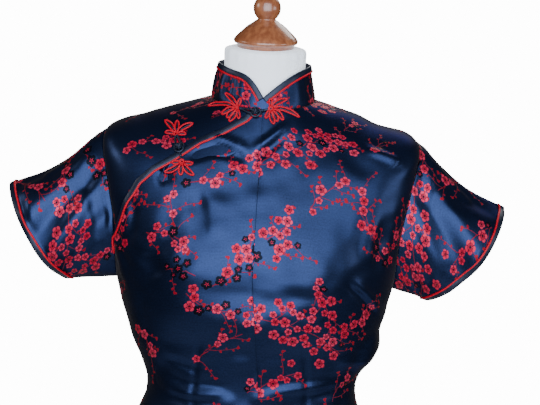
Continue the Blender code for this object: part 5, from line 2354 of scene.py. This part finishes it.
    def add_knot(self, knot: Knot) -> dict[str, list[bpy.types.Object]]:
        """Makes a ball button, its stem and its loop.

        Args:
            knot: The knot.
        Returns:
            The pieces of the stem and of the loop, by the flower that each goes with.
        """
        hubs = {flower.name: np.array((flower.x, flower.z)) for flower in self.flowers}
        middle = np.array((knot.x, knot.z))
        to_stem, to_loop = hubs[knot.stem] - middle, hubs[knot.loop] - middle
        self.add_ball(knot)
        stem = np.array([middle + unit(to_stem) * 0.0030, middle + to_stem * 0.6, hubs[knot.stem]])
        way = unit(to_loop)
        across = np.array((-way[1], way[0]))
        around = self.ball + self.cord_half + 0.0003
        turns = np.radians(np.linspace(35, 325, 25))
        ring = middle + (way * np.cos(turns)[:, None] + across * np.sin(turns)[:, None]) * around
        near = middle + to_loop * 0.86
        loop = np.concatenate([[near + across * self.cord_half], ring, [near - across * self.cord_half]])
        made = {}
        for owner, route, lift in ((knot.stem, stem, 0.0), (knot.loop, loop, 0.0012)):
            smooth = smooth_route(route, 60)
            points, normals = self.laid(smooth, 0.0013 + self.clearance + lift)
            made[owner] = [Maker.swept("lead", points, normals, self.rouleau * circle(12), material=1)]
        return made

    def add_ball(self, knot: Knot) -> None:
        """Makes the ball: a rouleau cord wound over and under itself round a core.

        Args:
            knot: The knot.
        """
        places, _ = self.laid(np.array([[knot.x, knot.z]]), self.ball + self.clearance)
        middle = places[0]
        turn = np.linspace(0, 2 * math.pi, 161)[:-1]
        east, north = 3 * turn, 0.95 * np.sin(4 * turn)
        radius = self.ball - self.wound + 0.00045 * np.cos(12 * turn)
        way = np.stack([np.cos(north) * np.cos(east), np.cos(north) * np.sin(east), np.sin(north)], axis=1)
        section = self.wound * circle(10)
        cord = Maker.swept("wound", middle + way * radius[:, None], way, section, closed=True)
        core = bmesh.new()
        bmesh.ops.create_icosphere(core, subdivisions=3, radius=self.ball - 0.0012)
        bmesh.ops.translate(core, verts=core.verts, vec=middle)
        inner = Maker.linked("core", core)
        inner.data.shade_smooth()
        settled(self.joined(f"ball_{knot.name}", [cord, inner]), [knot.name], [self.satin])

    def add(self) -> None:
        """Makes every flower and ball."""
        leads: dict[str, list[bpy.types.Object]] = {}
        for knot in self.knots:
            leads.update(self.add_knot(knot))
        for flower in self.flowers:
            self.add_flower(flower, leads[flower.name])


@dataclass
class DressForm:
    """The limbless form inside the dress, its wooden cap, pole and foot."""

    body: Body
    jersey: bpy.types.Material
    wood: bpy.types.Material
    bottom: float = 0.740
    inset_rows: tuple[float, ...] = (0.0, 5.5, 6.2, 7.5, 9.6, 10.4, 11.0)
    insets: tuple[float, ...] = (0.006, 0.007, 0.0085, 0.007, 0.007, 0.0046, 0.0021)
    columns: int = 120
    half_rows: int = 60
    neck_rows: int = 28
    bottom_taper: float = 0.975
    neck_start: float = 1.395
    neck_fade: float = 0.02
    neck_radius: float = 0.05
    gathers: float = 0.0005
    knit_width: float = 0.13
    knit_height: float = 0.85
    ball_radius: float = 0.0172
    ball_height: float = 0.0492

    def ring(self, rows: Array, body: Body) -> Array:
        """Whole rings of the form's surface.

        Args:
            rows: Rows of the section table.
            body: The table's surface.
        Returns:
            Points by row and column.
        """
        shares = np.linspace(0, 1, self.columns // 4 + 1)
        quarters = []
        turns = ((Face.FRONT, 1, 1), (Face.BACK, 1, -1), (Face.BACK, -1, 1), (Face.FRONT, -1, -1))
        for face, side, step in turns:
            angles = (math.pi / 2) * shares[::step]
            grid_rows, grid_angles = np.meshgrid(rows, side * angles, indexing="ij")
            points = body.ring_points(grid_rows, grid_angles, face)
            quarters.append(points[:, :-1])
        loop = np.concatenate(quarters, axis=1)
        return np.concatenate([loop, loop[:, :1]], axis=1)

    def add_torso(self) -> None:
        """The jersey-covered body and neck."""
        bottom_row = float(self.body.rows_at([self.bottom])[0])
        lower = np.linspace(bottom_row, UNDERARM_ROW, self.half_rows)
        upper = np.linspace(UNDERARM_ROW, NECK_ROW, self.half_rows)[1:]
        rows = np.concatenate([lower, upper])
        points = self.ring(rows, self.body)
        wrapped = np.concatenate([points[:, -2:-1], points, points[:, 1:2]], axis=1)
        normals = Sheet(wrapped, wrapped[..., :2]).normals()[:, 1:-1]
        points = points - normals * np.interp(rows, self.inset_rows, self.insets)[:, None, None]
        points[0, :, 2] = self.bottom
        points[0, :, :2] *= self.bottom_taper
        neck_body = Body(sections=(SECTIONS[NECK_ROW], *NECK_SECTIONS), bust=(0.0, 0.0, 1.0, 1.0, 0.0))
        neck = self.ring(np.linspace(1, len(NECK_SECTIONS), self.neck_rows), neck_body)
        turn = np.linspace(0, 2 * math.pi, neck.shape[1])
        fine = self.gathers * np.sin(turn * 23 + np.sin(turn * 3) * 2)
        fade = smooth_step((neck[..., 2] - self.neck_start) / self.neck_fade)
        neck[..., :2] *= 1 + (fine * fade / self.neck_radius)[..., None]
        grid = np.concatenate([points, neck])
        heights = np.linspace(0, self.knit_height, len(grid))
        flat = np.stack(np.broadcast_arrays(turn[None, :] * self.knit_width, heights[:, None]), axis=-1)
        settled(Maker.grid("form_body", grid, flat, merge=True, cap=True), ["form_torso"], [self.jersey])

    def add_cap(self) -> None:
        """The turned cap with its ball finial."""
        ball = np.radians(np.linspace(0, 140, 26))
        turned = np.stack([np.sin(ball), np.cos(ball)], axis=1)
        profile = turned * self.ball_radius + (0.0, self.ball_height)
        lower = (
            (0.0118, 0.0352), (0.0128, 0.0340), (0.0150, 0.0330), (0.0168, 0.0312), (0.0205, 0.0290),
            (0.0250, 0.0256), (0.0290, 0.0217), (0.0330, 0.0180), (0.0362, 0.0148), (0.0385, 0.0122),
            (0.0390, 0.0112), (0.0398, 0.0104), (0.0402, 0.0088), (0.0398, 0.0072), (0.0388, 0.0058),
            (0.0364, 0.0045), (0.0355, 0.0030), (0.0355, 0.0000), (0.0, 0.0),
        )
        cap = Maker.turned("wood_cap", np.concatenate([profile, lower]))
        tilt = Matrix.Rotation(math.atan2(0.010, 0.096), 4, "X")
        top = NECK_SECTIONS[-1]
        cap.data.transform(Matrix.Translation((0.0, top.mid, top.side_z + 0.0003)) @ tilt)
        settled(cap, ["form_cap"], [self.wood])

    def add_stand(self) -> None:
        """The pole and the foot."""
        low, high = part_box("stand_foot")
        radius, top = high.x, high.z
        foot = (
            (0.0, top), (0.040, top), (0.044, top - 0.0010), (0.046, top - 0.0022),
            (0.049, top - 0.0014), (radius - 0.030, top - 0.0052), (radius - 0.018, top - 0.0060),
            (radius - 0.012, top - 0.0064), (radius - 0.007, top - 0.0076),
            (radius - 0.003, top - 0.0100), (radius - 0.001, top - 0.0126), (radius, top - 0.0150),
            (radius, 0.004), (radius - 0.0012, 0.0014), (radius - 0.004, 0.0), (0.0, 0.0),
        )
        settled(Maker.turned("wood_foot", np.array(foot), 144), ["stand_foot"], [self.wood])
        low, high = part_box("stand_pole")
        pole = (
            (0.0, high.z), (0.024, high.z), (0.024, high.z - 0.010), (0.0225, high.z - 0.0125),
            (0.0185, high.z - 0.0145), (0.0170, high.z - 0.0165), (0.0150, high.z - 0.0210),
            (0.0150, high.z - 0.0700), (0.0150, 0.250), (0.0150, 0.062), (0.0165, 0.0585),
            (0.0200, 0.0560), (0.0210, 0.0520), (0.0205, 0.0480), (0.0215, 0.0450), (0.0240, 0.0400),
            (0.0260, 0.0360), (0.0260, low.z), (0.0, low.z),
        )
        settled(Maker.turned("wood_pole", np.array(pole), 72), ["stand_pole"], [self.wood])

    def add(self) -> None:
        """Makes the form and its stand."""
        self.add_torso()
        self.add_cap()
        self.add_stand()


@dataclass(frozen=True)
class Softbox:
    """A large soft light that the camera doesn't see."""

    name: str
    place: Place
    target: Place
    size: Pair
    power: float
    colour: Colour = (1.0, 1.0, 1.0)
    spread: float = 180.0


@dataclass
class Studio:
    """Floor, lights, room and camera."""

    focus: Place = (0.014, -0.060, 1.237)
    distance: float = 1.8
    elevation: float = math.radians(8)
    roll: float = math.radians(2.5)
    lens: float = 98.0
    world: Colour = (1.0, 1.0, 1.0)
    world_strength: float = 14.0
    floor_radius: float = 1.3
    lights: tuple[Softbox, ...] = (
        Softbox(
            "window", (0.15, -2.05, 1.88), (0.15, 0.0, 1.88), (2.7, 2.66), 95.0, (0.80, 0.88, 1.0), 130.0
        ),
        Softbox("left", (-2.3, -0.3, 2.1), (0.0, 0.0, 1.2), (0.8, 0.8), 16.0, (1.0, 0.92, 0.84)),
        Softbox("right", (2.2, -0.9, 1.5), (0.0, 0.0, 1.2), (0.9, 0.9), 14.0, (0.96, 0.96, 1.0)),
        Softbox("behind", (0.5, 2.0, 3.0), (0.0, 0.0, 1.2), (2.4, 1.4), 45.0, (1.0, 0.98, 0.96)),
    )

    def add_stage(self) -> None:
        """The pale paper floor, small enough for the satin not to mirror it."""
        paint = Paint("paper")
        place = paint.place()
        colour = paint.blend(paint.noise(place, 3.0, 2.0), (0.90, 0.90, 0.90), (0.95, 0.95, 0.95))
        disc = bmesh.new()
        bmesh.ops.create_circle(disc, cap_ends=True, radius=self.floor_radius, segments=96)
        bmesh.ops.translate(disc, verts=disc.verts, vec=(0.0, 0.0, -0.0005))
        floor = Maker.linked("paper_floor", disc)
        floor.data.materials.append(paint.finish({"Roughness": 0.9}, Base_Color=colour))
        floor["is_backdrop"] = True

    def add_lights(self) -> None:
        """The soft lights, and the white room, which only the camera sees."""
        for box in self.lights:
            data = bpy.data.lights.new(box.name, "AREA")
            data.shape = "RECTANGLE"
            data.size, data.size_y = box.size
            data.spread = math.radians(box.spread)
            data.energy = box.power
            data.color = box.colour
            light = bpy.data.objects.new(box.name, data)
            light.visible_camera = False
            bpy.context.scene.collection.objects.link(light)
            way = Vector(box.target) - Vector(box.place)
            turned = way.to_track_quat("-Z", "Y").to_matrix().to_4x4()
            light.matrix_world = Matrix.Translation(box.place) @ turned
        world = bpy.data.worlds.new("room")
        world.use_nodes = True
        background = world.node_tree.nodes["Background"]
        background.inputs["Color"].default_value = (*self.world, 1.0)
        background.inputs["Strength"].default_value = self.world_strength
        bpy.context.scene.world = world
        seen_by = world.cycles_visibility
        seen_by.diffuse = seen_by.glossy = seen_by.transmission = seen_by.scatter = False

    def add_camera(self) -> None:
        """The camera, at the photograph's angle."""
        data = bpy.data.cameras.new("camera")
        data.lens = self.lens
        data.sensor_width = 36.0
        camera = bpy.data.objects.new("camera", data)
        bpy.context.scene.collection.objects.link(camera)
        back = Vector((0.0, -math.cos(self.elevation), math.sin(self.elevation)))
        turned = (-back).to_track_quat("-Z", "Y").to_matrix().to_4x4()
        place = Matrix.Translation(Vector(self.focus) + back * self.distance)
        camera.matrix_world = place @ turned @ Matrix.Rotation(self.roll, 4, "Z")
        bpy.context.scene.camera = camera

    def add(self) -> None:
        """Makes the whole studio."""
        self.add_stage()
        self.add_lights()
        self.add_camera()


def main() -> None:
    """Builds every piece in order."""
    logging.basicConfig(level=logging.INFO, format="%(name)s: %(message)s", stream=sys.stdout)
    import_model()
    Studio().add()
    body = Body()
    brocade = Brocade()
    flora = brocade.grown()
    log.info("repeat: %d blossoms, %d buds, %d twigs", len(flora.blossoms), len(flora.buds), len(flora.twigs))
    binding, cord = PlainSatin().made("satin_binding"), RedCord().made("red_cord")
    dress = Dress(body, brocade, flora, BrocadeSatin().made("satin_brocade"), binding, cord)
    dress.add_front_left()
    dress.add_front_right()
    dress.add_under_front()
    dress.add_back()
    sleeves = Sleeves(dress)
    sleeves.add(Side.LEFT)
    sleeves.add(Side.RIGHT)
    Collar(dress).add()
    trimming = Trimming(dress)
    collar_band = trimming.along_top("collar", "collar")
    front_band = trimming.along_top("front", "front_right", drawn_back=2, down_to=1.165)
    trimming.along_top("sleeve_left", "sleeve_left")
    trimming.along_top("sleeve_right", "sleeve_right")
    trimming.along_hem("hem_front", ["front_right", "front_left"], body.slit_top)
    trimming.along_hem("hem_back", ["back"], body.slit_top)
    cloths = [dress.sheets[name].points for name in ("front_left", "front_right", "under_front", "collar")]
    Frogs([*cloths, collar_band, front_band], cord, binding).add()
    DressForm(body, Jersey().made("jersey"), TurnedWood().made("turned_wood")).add()
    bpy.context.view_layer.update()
    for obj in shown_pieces():
        log.info("%s: %d faces", obj.name, len(obj.data.polygons))


if __name__ == "__main__":
    main()
